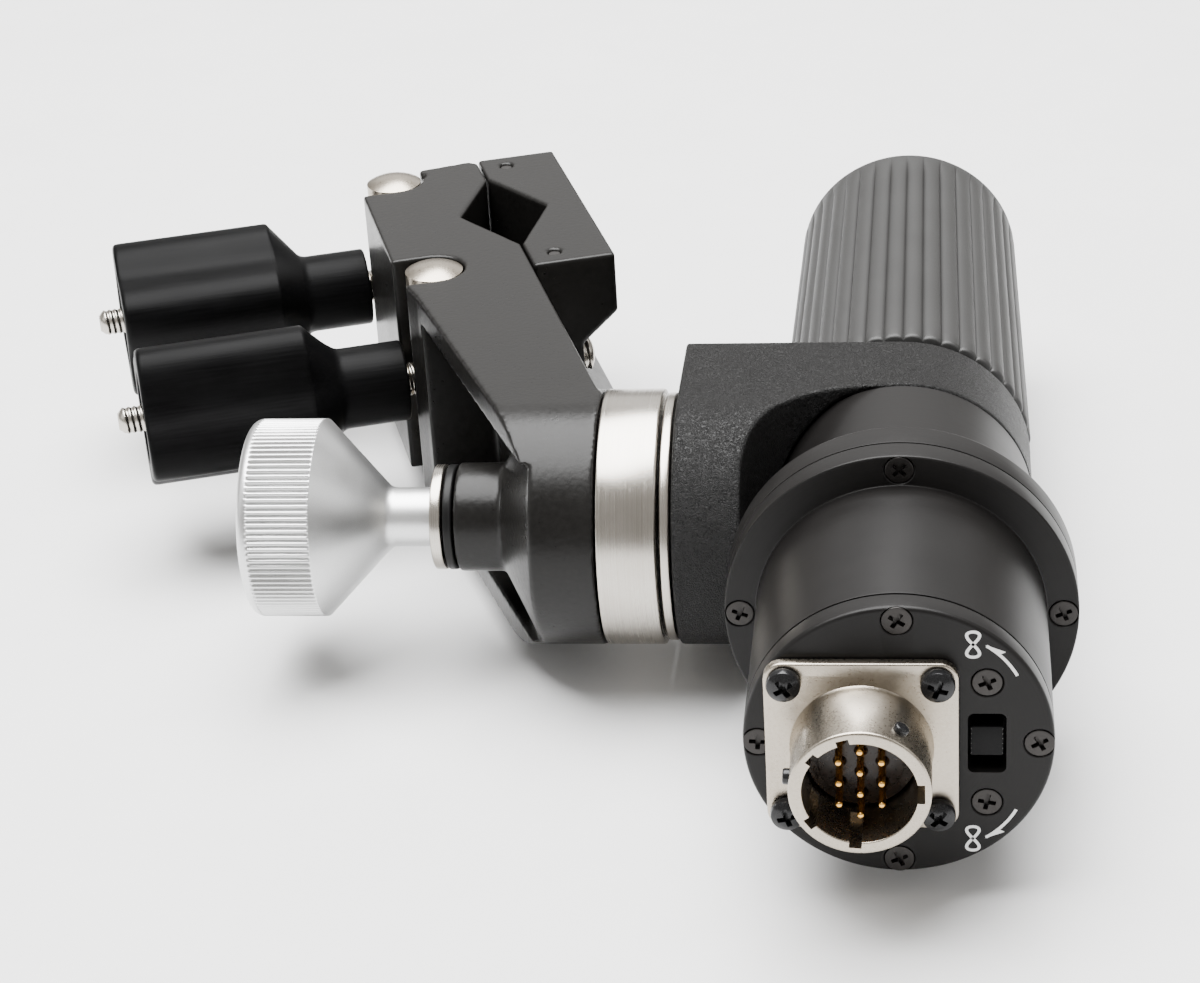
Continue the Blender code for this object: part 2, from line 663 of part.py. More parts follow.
def electronics(board_finish, encoder_finish, plate_finish, parent):
    """Circuit board across the barrel, and the encoder on its plate."""
    board_end = SPIGOT_START_Y - SEAT
    board_r = BARREL_BORE_R - SEAT
    piece("circuit_board", rod("Y", board_r, board_end - BOARD_T, board_end, 32), board_finish, parent)
    shaft_hole = ENCODER_SHAFT_R + SEAT
    encoder_at = (0, ENCODER_END_Y, GEAR_DISTANCE)
    encoder = ring("Y", ENCODER_R, shaft_hole, -ENCODER_L, 0, 24)
    piece("encoder_body", encoder, encoder_finish, parent, encoder_at)
    plate = rod("Y", HOUSING_CAVITY_R - SEAT, PLATE_END_Y - ENCODER_PLATE_T, PLATE_END_Y, 32)
    plate = piece("encoder_plate", plate, plate_finish, parent)
    cut(plate, plain_hole(shaft_hole, (0, GEAR_DISTANCE), 0, HOUSING_END_Y))


def gear_train(gear_finish, pinion_finish, parent):
    """Drive gear on the shaft, and the encoder's pinion in mesh with it above."""
    up = math.pi / 2
    gear = prism("Y", gear_outline(GEAR_TEETH, up), 0, GEAR_T)
    gear = piece("drive_gear", gear, gear_finish, parent, (0, SHOULDER_Y + SEAT, 0))
    cut(gear, rod("Y", GEAR_SEAT_R + SEAT, -1, GEAR_T + 1, 20))
    pinion_at = (0, SHOULDER_Y + SEAT, GEAR_DISTANCE)
    gap_down = -up + math.pi / PINION_TEETH
    pinion = prism("Y", gear_outline(PINION_TEETH, gap_down), 0, GEAR_T)
    pinion = piece("encoder_pinion", pinion, pinion_finish, parent, pinion_at)
    shaft_start = ENCODER_END_Y - ENCODER_L + 1.5 - pinion_at[1]
    join(pinion, rod("Y", ENCODER_SHAFT_R, shaft_start, GEAR_T - 0.4, 16))


# Shaft, bearings and grip


def shaft_and_bearings(steel, bearing_finish, parent):
    """Shaft from the drive gear to the grip's nut, with a bearing at each end of the housing."""
    gear_seat_end = BULKHEAD_Y - 0.2
    profile = [
        (0, SHAFT_START_Y), (GEAR_SEAT_R, SHAFT_START_Y), (GEAR_SEAT_R, gear_seat_end), (SHAFT_R, gear_seat_end),
        (SHAFT_R, SHAFT_END_Y), (0, SHAFT_END_Y),
    ]  # fmt: skip
    piece("drive_shaft", lathe("Y", profile, 24), steel, parent)
    bore = SHAFT_R + SEAT
    rear_y = BULKHEAD_Y + SEAT
    rear = ring("Y", REAR_BEARING_R, bore, rear_y, rear_y + REAR_BEARING_W, 24)
    piece("rear_bearing", rear, bearing_finish, parent)
    front_end = HUB_END_Y - SEAT
    front = ring("Y", FRONT_BEARING_R, bore, front_end - FRONT_BEARING_W, front_end, 24)
    piece("front_bearing", front, bearing_finish, parent)
    nut = prism("Y", arc((0, 0), NUT_R, 0, 300, 5), NUT_START_Y, NUT_START_Y + NUT_T)
    nut = piece("shaft_nut", nut, steel, parent)
    cut(nut, rod("Y", bore, NUT_START_Y - 1, NUT_START_Y + NUT_T + 1, 16))


def grip(sleeve_finish, core_finish, cap_finish, parent):
    """Ribbed sleeve on a metal core, closed by an end cap."""
    steps = 2 * GRIP_RIBS
    sleeve = ribbed_sleeve(steps)
    piece("grip_sleeve", sleeve, sleeve_finish, parent)
    start, end = GRIP_START_Y + SEAT, CORE_END_Y
    core_bore = CORE_R - CORE_WALL
    profile = [
        (SHAFT_R + SEAT, start), (CORE_R, start), (CORE_R, end), (core_bore, end),
        (core_bore, start + CORE_BASE_T), (SHAFT_R + SEAT, start + CORE_BASE_T),
    ]  # fmt: skip
    piece("grip_core", lathe("Y", profile, 40), core_finish, parent)
    plug_r, cap_r = core_bore - SEAT, SLEEVE_BORE_R - SEAT
    cap_start, cap_edge = CORE_END_Y + SEAT, GRIP_END_Y - 1.0
    cap = [
        (0, cap_start - 3), (plug_r, cap_start - 3), (plug_r, cap_start), (cap_r, cap_start),
        (cap_r, cap_edge - 0.5), (cap_r - 1.0, cap_edge), (0, cap_edge),
    ]  # fmt: skip
    piece("grip_end_cap", lathe("Y", cap, 32), cap_finish, parent)


def ribbed_sleeve(steps):
    """Tapered tube with a rib at every second step, rounded at its far end."""
    bm = bmesh.new()
    stations = ((GRIP_START_Y, GRIP_BASE_R), (GRIP_END_Y - 2.5, GRIP_TIP_R), (GRIP_END_Y, GRIP_TIP_R - 1.6))
    loops = []
    for y, radius in stations:
        points = []
        for step in range(steps):
            angle = 2 * math.pi * step / steps
            r = radius - (GRIP_RIB_H if step % 2 else 0.0)
            points.append(bm.verts.new((r * math.cos(angle), y, r * math.sin(angle))))
        loops.append(points)
    for y in (GRIP_END_Y, GRIP_START_Y):
        angles = [2 * math.pi * step / steps for step in range(steps)]
        loops.append([bm.verts.new((SLEEVE_BORE_R * math.cos(a), y, SLEEVE_BORE_R * math.sin(a))) for a in angles])
    for one, two in zip(loops, loops[1:] + loops[:1]):
        for i in range(steps):
            j = (i + 1) % steps
            bm.faces.new((one[i], one[j], two[j], two[i]))
    return bm


# Swivel and lock knob, on the tilt axis


def swivel(ring_finish, bolt_finish, parent):
    """Two steel rings that meet at the groove, and the bolt through them."""
    low = BRACKET_RING_X - BRACKET_RING_T
    piece("bracket_ring", ring("X", BRACKET_RING_R, RING_BORE_R, low, BRACKET_RING_X), ring_finish, parent)
    arm_ring_low = ARM_RING_X - ARM_RING_T
    piece("arm_ring", ring("X", SWIVEL_R, RING_BORE_R, arm_ring_low, ARM_RING_X), ring_finish, parent)
    head_x = ARM_INNER_X - SEAT
    bolt_end = LOCK_X - LOCK_BORE_DEPTH + 2.0
    bolt = [
        (0, head_x), (BOLT_HEAD_R, head_x), (BOLT_HEAD_R, head_x - BOLT_HEAD_T), (BOLT_R, head_x - BOLT_HEAD_T),
        (BOLT_R, bolt_end), (0, bolt_end),
    ]  # fmt: skip
    piece("pivot_bolt", lathe("X", bolt, 24), bolt_finish, parent)


def lock_knob(knob_finish, collar_finish, washer_finish, parent):
    """Aluminium knob that tightens the swivel, with its collar and washer."""
    bore = BOLT_R + SEAT
    piece("lock_washer", ring("X", WASHER_R, bore, WASHER_X - WASHER_T, WASHER_X, 32), washer_finish, parent)
    piece("lock_collar", ring("X", COLLAR_R, bore, COLLAR_X - COLLAR_T, COLLAR_X, 32), collar_finish, parent)
    stem_end = LOCK_X - STEM_L
    cone_end = stem_end - LOCK_CONE_L
    rim_end = cone_end - LOCK_RIM_L
    edge = arc((LOCK_R - LOCK_EDGE_R, rim_end + LOCK_EDGE_R), LOCK_EDGE_R, 0, -90, 3)
    bore_end = LOCK_X - LOCK_BORE_DEPTH
    profile = [(bore, LOCK_X), (STEM_R, LOCK_X), (STEM_R, stem_end), (LOCK_R, cone_end), *edge]
    profile += [(0, rim_end), (0, bore_end), (bore, bore_end)]
    piece("lock_knob", lathe("X", profile), knob_finish, parent)


# Clamp


def clamp_arm(material, parent):
    """Casting with the swivel disc, its boss, the arm and the fixed jaw."""
    c, s = math.cos(CLAMP_ANGLE), math.sin(CLAMP_ANGLE)

    def in_clamp(x, y):
        return (x * c + y * s, -x * s + y * c)

    tip_v, base_v = JAW_CENTRE + JAW_HALF_LENGTH, JAW_CENTRE - JAW_HALF_LENGTH
    upper_v, lower_v = ROD_PLACES
    disc_right = in_clamp(DISC_X, 0)
    right_foot = (ARM_RIGHT, disc_right[1] + 2.5)
    slot_right = BARREL_PIN_U + SLOT_R
    outline = [
        in_clamp(DISC_X, -SWIVEL_R - 1), in_clamp(DISC_X, 0), right_foot,
        (ARM_RIGHT, JAW_CENTRE - V_HALF_WIDTH), (ARM_RIGHT - V_DEPTH, JAW_CENTRE),
        (ARM_RIGHT, JAW_CENTRE + V_HALF_WIDTH), (ARM_RIGHT, tip_v - JAW_TIP_CHAMFER),
        (ARM_RIGHT - JAW_TIP_CHAMFER, tip_v), (slot_right, tip_v - 1.0),
    ]  # fmt: skip
    outline += arc((BARREL_PIN_U, upper_v), SLOT_R, 0, -90, 6)
    outline += [(FIXED_JAW_LEFT, upper_v - SLOT_R), (FIXED_JAW_LEFT, lower_v + SLOT_R)]
    outline += arc((BARREL_PIN_U, lower_v), SLOT_R, 90, -90, 10)
    outline += [(FIXED_JAW_LEFT + 0.6, lower_v - SLOT_R), (ARM_LEFT_TOP, base_v - 6.0)]
    outline += [(ARM_LEFT_BASE, 0.0), in_clamp(DISC_X - DISC_T, -SWIVEL_R - 1)]
    arm = piece("clamp_arm", prism("Z", outline, -CLAMP_HALF_H, CLAMP_HALF_H), material, parent)

    side = arc((0, 0), SWIVEL_R, 270, 90, 20) + [(tip_v + 60, SWIVEL_R), (tip_v + 60, -SWIVEL_R)]
    profile_stock = prism("X", side, FIXED_JAW_LEFT - 60, 0)
    combine(arm, "INTERSECT", [turned_by(profile_stock, -CLAMP_ANGLE, "Z")])

    pocket_half = CLAMP_HALF_H - WEB_FLANGE_T
    pocket_low = (FIXED_JAW_LEFT - 5, -2 * SWIVEL_R, -pocket_half)
    cut(arm, block(pocket_low, (ARM_RIGHT - WEB_T, base_v - POCKET_END_WALL, pocket_half)))

    cone_end = DISC_X - DISC_T - CONE_L
    spigot_x = ARM_RING_X - 0.1
    disc = [
        (0, spigot_x), (RING_SPIGOT_R, spigot_x), (RING_SPIGOT_R, DISC_X), (SWIVEL_R, DISC_X),
        (SWIVEL_R, DISC_X - DISC_T), (BOSS_R + 1.0, cone_end), (BOSS_R, cone_end - 0.6),
        (BOSS_R, BOSS_END_X), (0, BOSS_END_X),
    ]  # fmt: skip
    join(arm, turned_by(lathe("X", disc, 36), -CLAMP_ANGLE, "Z"))

    bore = rod("X", BOLT_R + 2 * SEAT, BOSS_END_X - 1, spigot_x + 1, 24)
    cut(arm, turned_by(bore, -CLAMP_ANGLE, "Z"))
    rod_holes = [shifted(rod("X", ROD_R + SEAT, BARREL_PIN_U, ARM_RIGHT + 1, 16), 0, v, 0) for v in ROD_PLACES]
    cut(arm, *rod_holes)


def moving_jaw(material, parent):
    """Jaw with the second V, held on the ends of the two rods."""
    tip_v, base_v = JAW_CENTRE + JAW_HALF_LENGTH, JAW_CENTRE - JAW_HALF_LENGTH
    section = [
        (JAW_INNER, -CLAMP_HALF_H), (JAW_OUTER, -CLAMP_HALF_H), (JAW_OUTER, -WAIST_TOP),
        (WAIST_FACE, -WAIST_HALF_H), (WAIST_FACE, WAIST_HALF_H), (JAW_OUTER, WAIST_TOP),
        (JAW_OUTER, CLAMP_HALF_H), (JAW_INNER, CLAMP_HALF_H),
    ]  # fmt: skip
    jaw = piece("moving_jaw", prism("Y", section, base_v, tip_v), material, parent)
    groove = [
        (JAW_INNER - 1, JAW_CENTRE - V_HALF_WIDTH - 1), (JAW_INNER, JAW_CENTRE - V_HALF_WIDTH),
        (JAW_INNER + V_DEPTH, JAW_CENTRE), (JAW_INNER, JAW_CENTRE + V_HALF_WIDTH),
        (JAW_INNER - 1, JAW_CENTRE + V_HALF_WIDTH + 1),
    ]  # fmt: skip
    rod_holes = [shifted(rod("X", ROD_R + SEAT, JAW_INNER - 1, JAW_OUTER + 1, 16), 0, v, 0) for v in ROD_PLACES]
    cut(jaw, prism("Z", groove, -CLAMP_HALF_H - 1, CLAMP_HALF_H + 1))
    cut(jaw, *rod_holes)
    pin_u, low, high = jaw_pin_place()
    cut(jaw, *[shifted(rod("Z", JAW_PIN_R + HEAD_GAP, low - 0.3, high + 2, 10), pin_u, v, 0) for v in ROD_PLACES])


def jaw_pin_place():
    """Where the retaining pins stand: their place along the closing direction, and their two ends."""
    high = CLAMP_HALF_H - 0.4
    return (JAW_INNER + WAIST_FACE) / 2 + 0.6, high - JAW_PIN_L, high


def rods_and_pins(rod_finish, pin_finish, barrel_finish, parent):
    """Threaded rods, the pins that hold them in the jaw, and the barrel pins that they pass through."""
    pin_u, low, high = jaw_pin_place()
    right = WAIST_FACE + ROD_PAST_WAIST
    left = KNOB_END - ROD_STUB_L
    profile = [
        (0, left), (ROD_STUB_R, left), (ROD_STUB_R, KNOB_END + 1.0), (ROD_R, KNOB_END + 1.6), (ROD_R, right),
        (0, right),
    ]  # fmt: skip
    barrel_low, barrel_high = -CLAMP_HALF_H + 0.5, CLAMP_HALF_H - 0.4
    barrel = [
        (0, barrel_low), (BARREL_PIN_R, barrel_low), (BARREL_PIN_R, barrel_high),
        (0.6 * BARREL_PIN_R, barrel_high + 0.8 * BARREL_PIN_DOME), (0, barrel_high + BARREL_PIN_DOME),
    ]  # fmt: skip
    for number, v in enumerate(ROD_PLACES, 1):
        clamp_rod = piece(f"clamp_rod_{number}", lathe("X", profile, 16), rod_finish, parent, (0, v, 0))
        cut(clamp_rod, shifted(rod("Z", JAW_PIN_R + HEAD_GAP, -6, 6, 10), pin_u, 0, 0))
        piece(f"jaw_pin_{number}", rod("Z", JAW_PIN_R, low, high, 10), pin_finish, parent, (pin_u, v, 0))
        pin = piece(f"barrel_pin_{number}", lathe("Z", barrel, 24), barrel_finish, parent, (BARREL_PIN_U, v, 0))
        cut(pin, rod("X", ROD_R + SEAT, -9, 9, 16))


def lobed_outline(turn, steps=32):
    """Outline of a lobed knob across its axis, with a lobe turned from +Z towards +Y by turn."""
    middle, swing = (KNOB_LOBE_R + KNOB_VALLEY_R) / 2, (KNOB_LOBE_R - KNOB_VALLEY_R) / 2
    angles = [2 * math.pi * step / steps for step in range(steps)]
    radii = [middle + swing * math.cos(KNOB_LOBES * (angle - turn)) for angle in angles]
    return [(r * math.sin(angle), r * math.cos(angle)) for r, angle in zip(radii, angles)]


def clamp_knobs(material, parent):
    """Lobed plastic knobs, left at different angles."""
    bore = ROD_R + SEAT
    body_high = KNOB_START - KNOB_NECK_L - KNOB_CONE_L
    neck_end = KNOB_START - KNOB_NECK_L
    cone_r = KNOB_VALLEY_R - 0.4
    for number, (v, turn) in enumerate(zip(ROD_PLACES, KNOB_TURNS), 1):
        body = prism("X", lobed_outline(turn), KNOB_END, body_high)
        knob = piece(f"clamp_knob_{number}", body, material, parent, (0, v, 0))
        neck = [
            (0, body_high - 2), (cone_r, body_high - 2), (cone_r, body_high),
            (KNOB_NECK_R, neck_end), (KNOB_NECK_R, KNOB_START), (0, KNOB_START),
        ]  # fmt: skip
        join(knob, lathe("X", neck, 24))
        cut(knob, rod("X", bore, KNOB_END - 1, KNOB_START + 1, 16))


# Assembly


def clear_scene():
    """Remove every object, so that the scene holds only this model."""
    for obj in list(bpy.data.objects):
        bpy.data.objects.remove(obj)


def stand_on_origin(assembly):
    """Move the assembly so that the world's origin is at the middle of its underside."""
    bpy.context.view_layer.update()
    graph = bpy.context.evaluated_depsgraph_get()
    points = []
    for obj in bpy.data.objects:
        if obj.type == "MESH" and not obj.hide_render:
            shape = obj.evaluated_get(graph)
            points += [shape.matrix_world @ vertex.co for vertex in shape.data.vertices]
    low = [min(p[axis] for p in points) for axis in range(3)]
    high = [max(p[axis] for p in points) for axis in range(3)]
    assembly.location = (-(low[0] + high[0]) / 2, -(low[1] + high[1]) / 2, -low[2])


def main():
    clear_scene()
    anodised = finish("black_anodised", (0.016, 0.015, 0.016), 0.42, 0.6)
    cast = finish("crinkle_paint", (0.012, 0.012, 0.013), 0.7)
    clamp_paint = finish("clamp_paint", (0.010, 0.010, 0.011), 0.32)
    stainless = finish("stainless_steel", (0.52, 0.49, 0.44), 0.28, 1.0)
    aluminium = finish("bare_aluminium", (0.78, 0.78, 0.77), 0.38, 1.0)
    nickel = finish("nickel_plate", (0.50, 0.45, 0.38), 0.33, 1.0)
    gold = finish("gold_plate", (0.90, 0.58, 0.18), 0.25, 1.0)
    black_oxide = finish("black_oxide", (0.03, 0.03, 0.032), 0.35, 0.9)
    rubber = finish("grip_rubber", (0.018, 0.018, 0.018), 0.62)
    plastic = finish("knob_plastic", (0.012, 0.012, 0.012), 0.5)
    insert = finish("insert_plastic", (0.02, 0.014, 0.011), 0.45)
    board = finish("circuit_board", (0.02, 0.10, 0.04), 0.5)
    slider = finish("slider_plastic", (0.04, 0.04, 0.04), 0.5)
    brass = finish("brass", (0.72, 0.52, 0.22), 0.35, 1.0)

    assembly = empty("assembly")
    tilt_axis = empty("tilt_axis", assembly, (0, TILT_Y, 0))
    grip_axis = empty("grip_axis", tilt_axis, (0, -TILT_Y, 0))
    clamp_frame = empty("clamp_frame", tilt_axis, turn=CLAMP_ANGLE)

    rear_cover(anodised, grip_axis)
    rear_barrel(anodised, grip_axis)
    main_housing(anodised, grip_axis)
    side_bracket(cast, grip_axis)
    connector(nickel, insert, gold, grip_axis)
    direction_switch(plastic, slider, grip_axis)
    electronics(board, plastic, aluminium, grip_axis)
    gear_train(brass, brass, grip_axis)
    shaft_and_bearings(stainless, stainless, grip_axis)
    grip(rubber, aluminium, anodised, grip_axis)
    screws(black_oxide, grip_axis)
    swivel(stainless, black_oxide, tilt_axis)
    lock_knob(aluminium, stainless, plastic, tilt_axis)
    clamp_arm(clamp_paint, clamp_frame)
    moving_jaw(clamp_paint, clamp_frame)
    rods_and_pins(stainless, black_oxide, nickel, clamp_frame)
    clamp_knobs(plastic, clamp_frame)
    stand_on_origin(assembly)


if __name__ == "__main__":
    main()
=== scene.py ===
"""Looks of a hand controller for a motorised lens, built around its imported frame.

Every piece is modelled in millimetres in a local frame whose +Z is the piece's own axis, and is then put in
place in metres. Four frames carry the pieces: the grip's axis, with +Z out of the rear cover, the swivel's
axis, with +Z from the bracket to the lock knob, the clamp's plan, and the two clamp rods.
"""

from __future__ import annotations

import logging
import math
from collections.abc import Callable, Iterable, Sequence
from dataclasses import dataclass
from enum import Enum

import bmesh
import bpy
from mathutils import Matrix, Vector


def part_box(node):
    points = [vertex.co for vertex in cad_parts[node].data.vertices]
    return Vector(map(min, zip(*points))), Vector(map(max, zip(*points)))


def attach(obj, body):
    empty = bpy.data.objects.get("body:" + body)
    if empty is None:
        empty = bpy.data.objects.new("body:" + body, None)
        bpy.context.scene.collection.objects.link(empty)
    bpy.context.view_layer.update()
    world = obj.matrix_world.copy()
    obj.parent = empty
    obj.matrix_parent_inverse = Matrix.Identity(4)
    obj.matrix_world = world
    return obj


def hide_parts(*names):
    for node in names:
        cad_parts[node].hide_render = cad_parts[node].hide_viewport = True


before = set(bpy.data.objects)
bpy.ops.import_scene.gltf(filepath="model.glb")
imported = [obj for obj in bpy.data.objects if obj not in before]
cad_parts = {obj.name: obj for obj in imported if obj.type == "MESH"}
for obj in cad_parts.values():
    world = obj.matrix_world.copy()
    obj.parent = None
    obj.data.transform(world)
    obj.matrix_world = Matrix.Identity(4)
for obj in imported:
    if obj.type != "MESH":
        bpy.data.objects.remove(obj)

MM = 0.001
LOG = logging.getLogger("hand_controller")

Colour = tuple[float, float, float]
Flat = tuple[float, float]
Corner = tuple[float, float, float]
Shape = bmesh.types.BMesh


class Body(Enum):
    """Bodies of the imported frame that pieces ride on."""

    CLAMP = "clamp"
    CONTROLLER = "controller"
    SWITCH = "direction_switch"
    GRIP = "grip"
    LOCK_CARRIER = "lock_carrier"
    LOCK_KNOB = "lock_knob_body"
    JAW = "moving_jaw_body"
    KNOB_1 = "knob_1"
    KNOB_2 = "knob_2"


class Grain(Enum):
    """How the surface texture of a finish runs."""

    TURNED = "rings round the piece's axis"
    DRAWN = "streaks along the piece's axis"
    EVEN = "the same every way"
    CRINKLE = "shrivelled paint"


# Outlines, in millimetres


def arc(centre: Flat, radius: float, start: float, end: float, steps: int) -> list[Flat]:
    """Points of an arc.

    Args:
        centre: Centre of the arc.
        radius: Its radius.
        start: First angle, in degrees.
        end: Last angle, in degrees.
        steps: Segments between them.

    Returns:
        The points, from start to end.
    """
    angles = [math.radians(start + (end - start) * step / steps) for step in range(steps + 1)]
    return [(centre[0] + radius * math.cos(a), centre[1] + radius * math.sin(a)) for a in angles]


def eased(corners: Sequence[Corner], steps: int = 4) -> list[Flat]:
    """Round the corners of a closed outline.

    Args:
        corners: Points as (first, second, length of the rounding along each side).
        steps: Segments in each rounding.

    Returns:
        The outline, with each corner that has a rounding turned into a curve.
    """
    points: list[Flat] = []
    for index, (first, second, ease) in enumerate(corners):
        here = Vector((first, second))
        if ease == 0.0:
            points.append((first, second))
            continue
        before = Vector(corners[index - 1][:2])
        after = Vector(corners[(index + 1) % len(corners)][:2])
        start = here + (before - here).normalized() * ease
        end = here + (after - here).normalized() * ease
        for step in range(steps + 1):
            share = step / steps
            points.append(tuple(start.lerp(here, share).lerp(here.lerp(end, share), share)))
    return points


def rounded_box(width: float, height: float, radius: float) -> list[Flat]:
    """Outline of a rectangle with round corners, about the origin."""
    x, y = width / 2 - radius, height / 2 - radius
    corners = ((x, y, 0), (-x, y, 90), (-x, -y, 180), (x, -y, 270))
    return [point for cx, cy, start in corners for point in arc((cx, cy), radius, start, start + 90, 8)]


# Shapes, in millimetres


def revolve(
    profile: Sequence[Flat],
    steps: int = 144,
    hollow: bool = False,
    radius_at: Callable[[float, float, float], float] | None = None,
) -> Shape:
    """Turned shape about +Z.

    Args:
        profile: Outline as (radius, place along the axis). A point on the axis has radius 0.
        steps: Segments round the axis.
        hollow: Whether the profile closes on itself round a bore.
        radius_at: Gives the radius from (angle, radius, place along the axis), for ribs and flutes.

    Returns:
        The closed shape.
    """
    shape = bmesh.new()
    rings = []
    for radius, along in profile:
        if radius < 1e-6:
            rings.append([shape.verts.new((0, 0, along))])
            continue
        ring = []
        for step in range(steps):
            angle = 2 * math.pi * step / steps
            reach = radius_at(angle, radius, along) if radius_at else radius
            ring.append(shape.verts.new((reach * math.cos(angle), reach * math.sin(angle), along)))
        rings.append(ring)
    following = rings[1:] + (rings[:1] if hollow else [])
    for one, two in zip(rings, following):
        for step in range(steps):
            after = (step + 1) % steps
            if len(one) == 1:
                shape.faces.new((one[0], two[step], two[after]))
            elif len(two) == 1:
                shape.faces.new((one[step], two[0], one[after]))
            else:
                shape.faces.new((one[step], two[step], two[after], one[after]))
    bmesh.ops.recalc_face_normals(shape, faces=shape.faces)
    return shape


def turned(corners: Sequence[Corner], steps: int = 144, hollow: bool = False) -> Shape:
    """Turned shape with eased corners, from (radius, place along the axis, rounding) points."""
    return revolve(eased(corners), steps, hollow)


def rod(radius: float, low: float, high: float, steps: int = 64) -> Shape:
    """Plain cylinder along +Z."""
    return revolve([(0, low), (radius, low), (radius, high), (0, high)], steps)


def prism(outline: Sequence[Flat], low: float, high: float) -> Shape:
    """Outline extruded along +Z from low to high."""
    shape = bmesh.new()
    face = shape.faces.new([shape.verts.new((x, y, low)) for x, y in outline])
    made = bmesh.ops.extrude_face_region(shape, geom=[face])["geom"]
    top = [item for item in made if isinstance(item, bmesh.types.BMVert)]
    bmesh.ops.translate(shape, vec=(0, 0, high - low), verts=top)
    bmesh.ops.recalc_face_normals(shape, faces=shape.faces)
    return shape


def block(low: Corner, high: Corner) -> Shape:
    """Box between two corners."""
    outline = [(low[0], low[1]), (high[0], low[1]), (high[0], high[1]), (low[0], high[1])]
    return prism(outline, low[2], high[2])


def moved(shape: Shape, x: float = 0.0, y: float = 0.0, z: float = 0.0, turn: float = 0.0) -> Shape:
    """The same shape moved, and then turned about +Z by an angle in degrees."""
    bmesh.ops.translate(shape, vec=(x, y, z), verts=shape.verts)
    spin = Matrix.Rotation(math.radians(turn), 3, "Z")
    bmesh.ops.rotate(shape, cent=(0, 0, 0), matrix=spin, verts=shape.verts)
    return shape


def ribbon(points: Sequence[Flat], width: float, low: float, high: float, closed: bool = False) -> Shape:
    """Flat stroke of one width along a line.

    Args:
        points: The stroke's middle line.
        width: Its width.
        low: Its underside.
        high: Its top.
        closed: Whether the line ends where it starts.

    Returns:
        The closed shape.
    """
    shape = bmesh.new()
    last = len(points) - 1
    rows = []
    for index, point in enumerate(points):
        before = points[index - 1] if closed or index else points[0]
        after = points[(index + 1) % len(points)] if closed or index < last else points[last]
        along = (Vector(after) - Vector(before)).normalized()
        side = Vector((-along.y, along.x)) * width / 2
        edges = ((point[0] - side.x, point[1] - side.y), (point[0] + side.x, point[1] + side.y))
        section = ((0, low), (1, low), (1, high), (0, high))
        rows.append([shape.verts.new((*edges[side_of], z)) for side_of, z in section])
    for one, two in zip(rows, rows[1:] + (rows[:1] if closed else [])):
        for corner in range(4):
            after = (corner + 1) % 4
            shape.faces.new((one[corner], one[after], two[after], two[corner]))
    if not closed:
        shape.faces.new(rows[0])
        shape.faces.new(rows[-1])
    bmesh.ops.recalc_face_normals(shape, faces=shape.faces)
    return shape


# Places


def axes_at(origin: Vector, x: Vector, z: Vector) -> Matrix:
    """Frame with these +X and +Z directions at a point, in metres."""
    place = Matrix((x, z.cross(x), z)).transposed().to_4x4()
    place.translation = origin
    return place


@dataclass(frozen=True)
class Layout:
    """Frames that the pieces are modelled in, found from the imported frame."""

    clamp_angle: float = math.radians(18.5)
    tilt_ahead: float = 65.5
    connector_aside: float = -4.88
    connector_up: float = 0.44
    switch_aside: float = 12.0
    rod_places: Flat = (118.4, 75.4)

    @property
    def origin(self) -> Vector:
        """Where the grip's axis meets the rear cover's outer face."""
        low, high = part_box("rear_cover")
        return Vector(((low.x + high.x) / 2, low.y, (low.z + high.z) / 2))

    @property
    def plain(self) -> Matrix:
        """Frame at the origin with the world's own directions."""
        return Matrix.Translation(self.origin)

    @property
    def grip(self) -> Matrix:
        """Grip's axis: +X to the right, +Y up and +Z out of the rear cover."""
        return axes_at(self.origin, Vector((1, 0, 0)), Vector((0, -1, 0)))

    def on_cover(self, aside: float, up: float) -> Matrix:
        """Frame of the grip's axis moved across the cover."""
        return self.grip @ Matrix.Translation(Vector((aside, up, 0)) * MM)

    @property
    def tilt(self) -> Matrix:
        """Swivel's axis: +X towards the rear cover, +Y up and +Z to the lock knob."""
        origin = self.origin + Vector((0, self.tilt_ahead * MM, 0))
        return axes_at(origin, Vector((0, -1, 0)), Vector((-1, 0, 0)))

    @property
    def clamp(self) -> Matrix:
        """Clamp's plan: +X the way that the jaws close, +Y along the arm and +Z up."""
        origin = self.origin + Vector((0, self.tilt_ahead * MM, 0))
        return Matrix.Translation(origin) @ Matrix.Rotation(self.clamp_angle, 4, "Z")

    @property
    def jaw(self) -> Matrix:
        """Clamp's frame turned so that +Z runs along the arm."""
        return self.clamp @ Matrix.Rotation(-math.pi / 2, 4, "X")

    def clamp_rod(self, index: int) -> Matrix:
        """Axis of a clamp rod: +Y up and +Z to its knob."""
        start = Vector((0, self.rod_places[index] * MM, 0))
        turned_out = axes_at(start, Vector((0, -1, 0)), Vector((-1, 0, 0)))
        return self.clamp @ turned_out


# Pieces


def solid(name: str, shapes: Iterable[Shape], place: Matrix) -> bpy.types.Object:
    """Object in metres from shapes that don't overlap.

    Args:
        name: Name of the piece.
        shapes: Shapes in millimetres in the piece's own frame. They are used up.
        place: The frame, in metres.

    Returns:
        The object, in place.
    """
    whole = bmesh.new()
    for shape in shapes:
        part = bpy.data.meshes.new(name)
        shape.to_mesh(part)
        shape.free()
        whole.from_mesh(part)
        bpy.data.meshes.remove(part)
    bmesh.ops.scale(whole, vec=(MM, MM, MM), verts=whole.verts)
    mesh = bpy.data.meshes.new(name)
    whole.to_mesh(mesh)
    whole.free()
    piece = bpy.data.objects.new(name, mesh)
    bpy.context.scene.collection.objects.link(piece)
    piece.matrix_world = place
    return piece


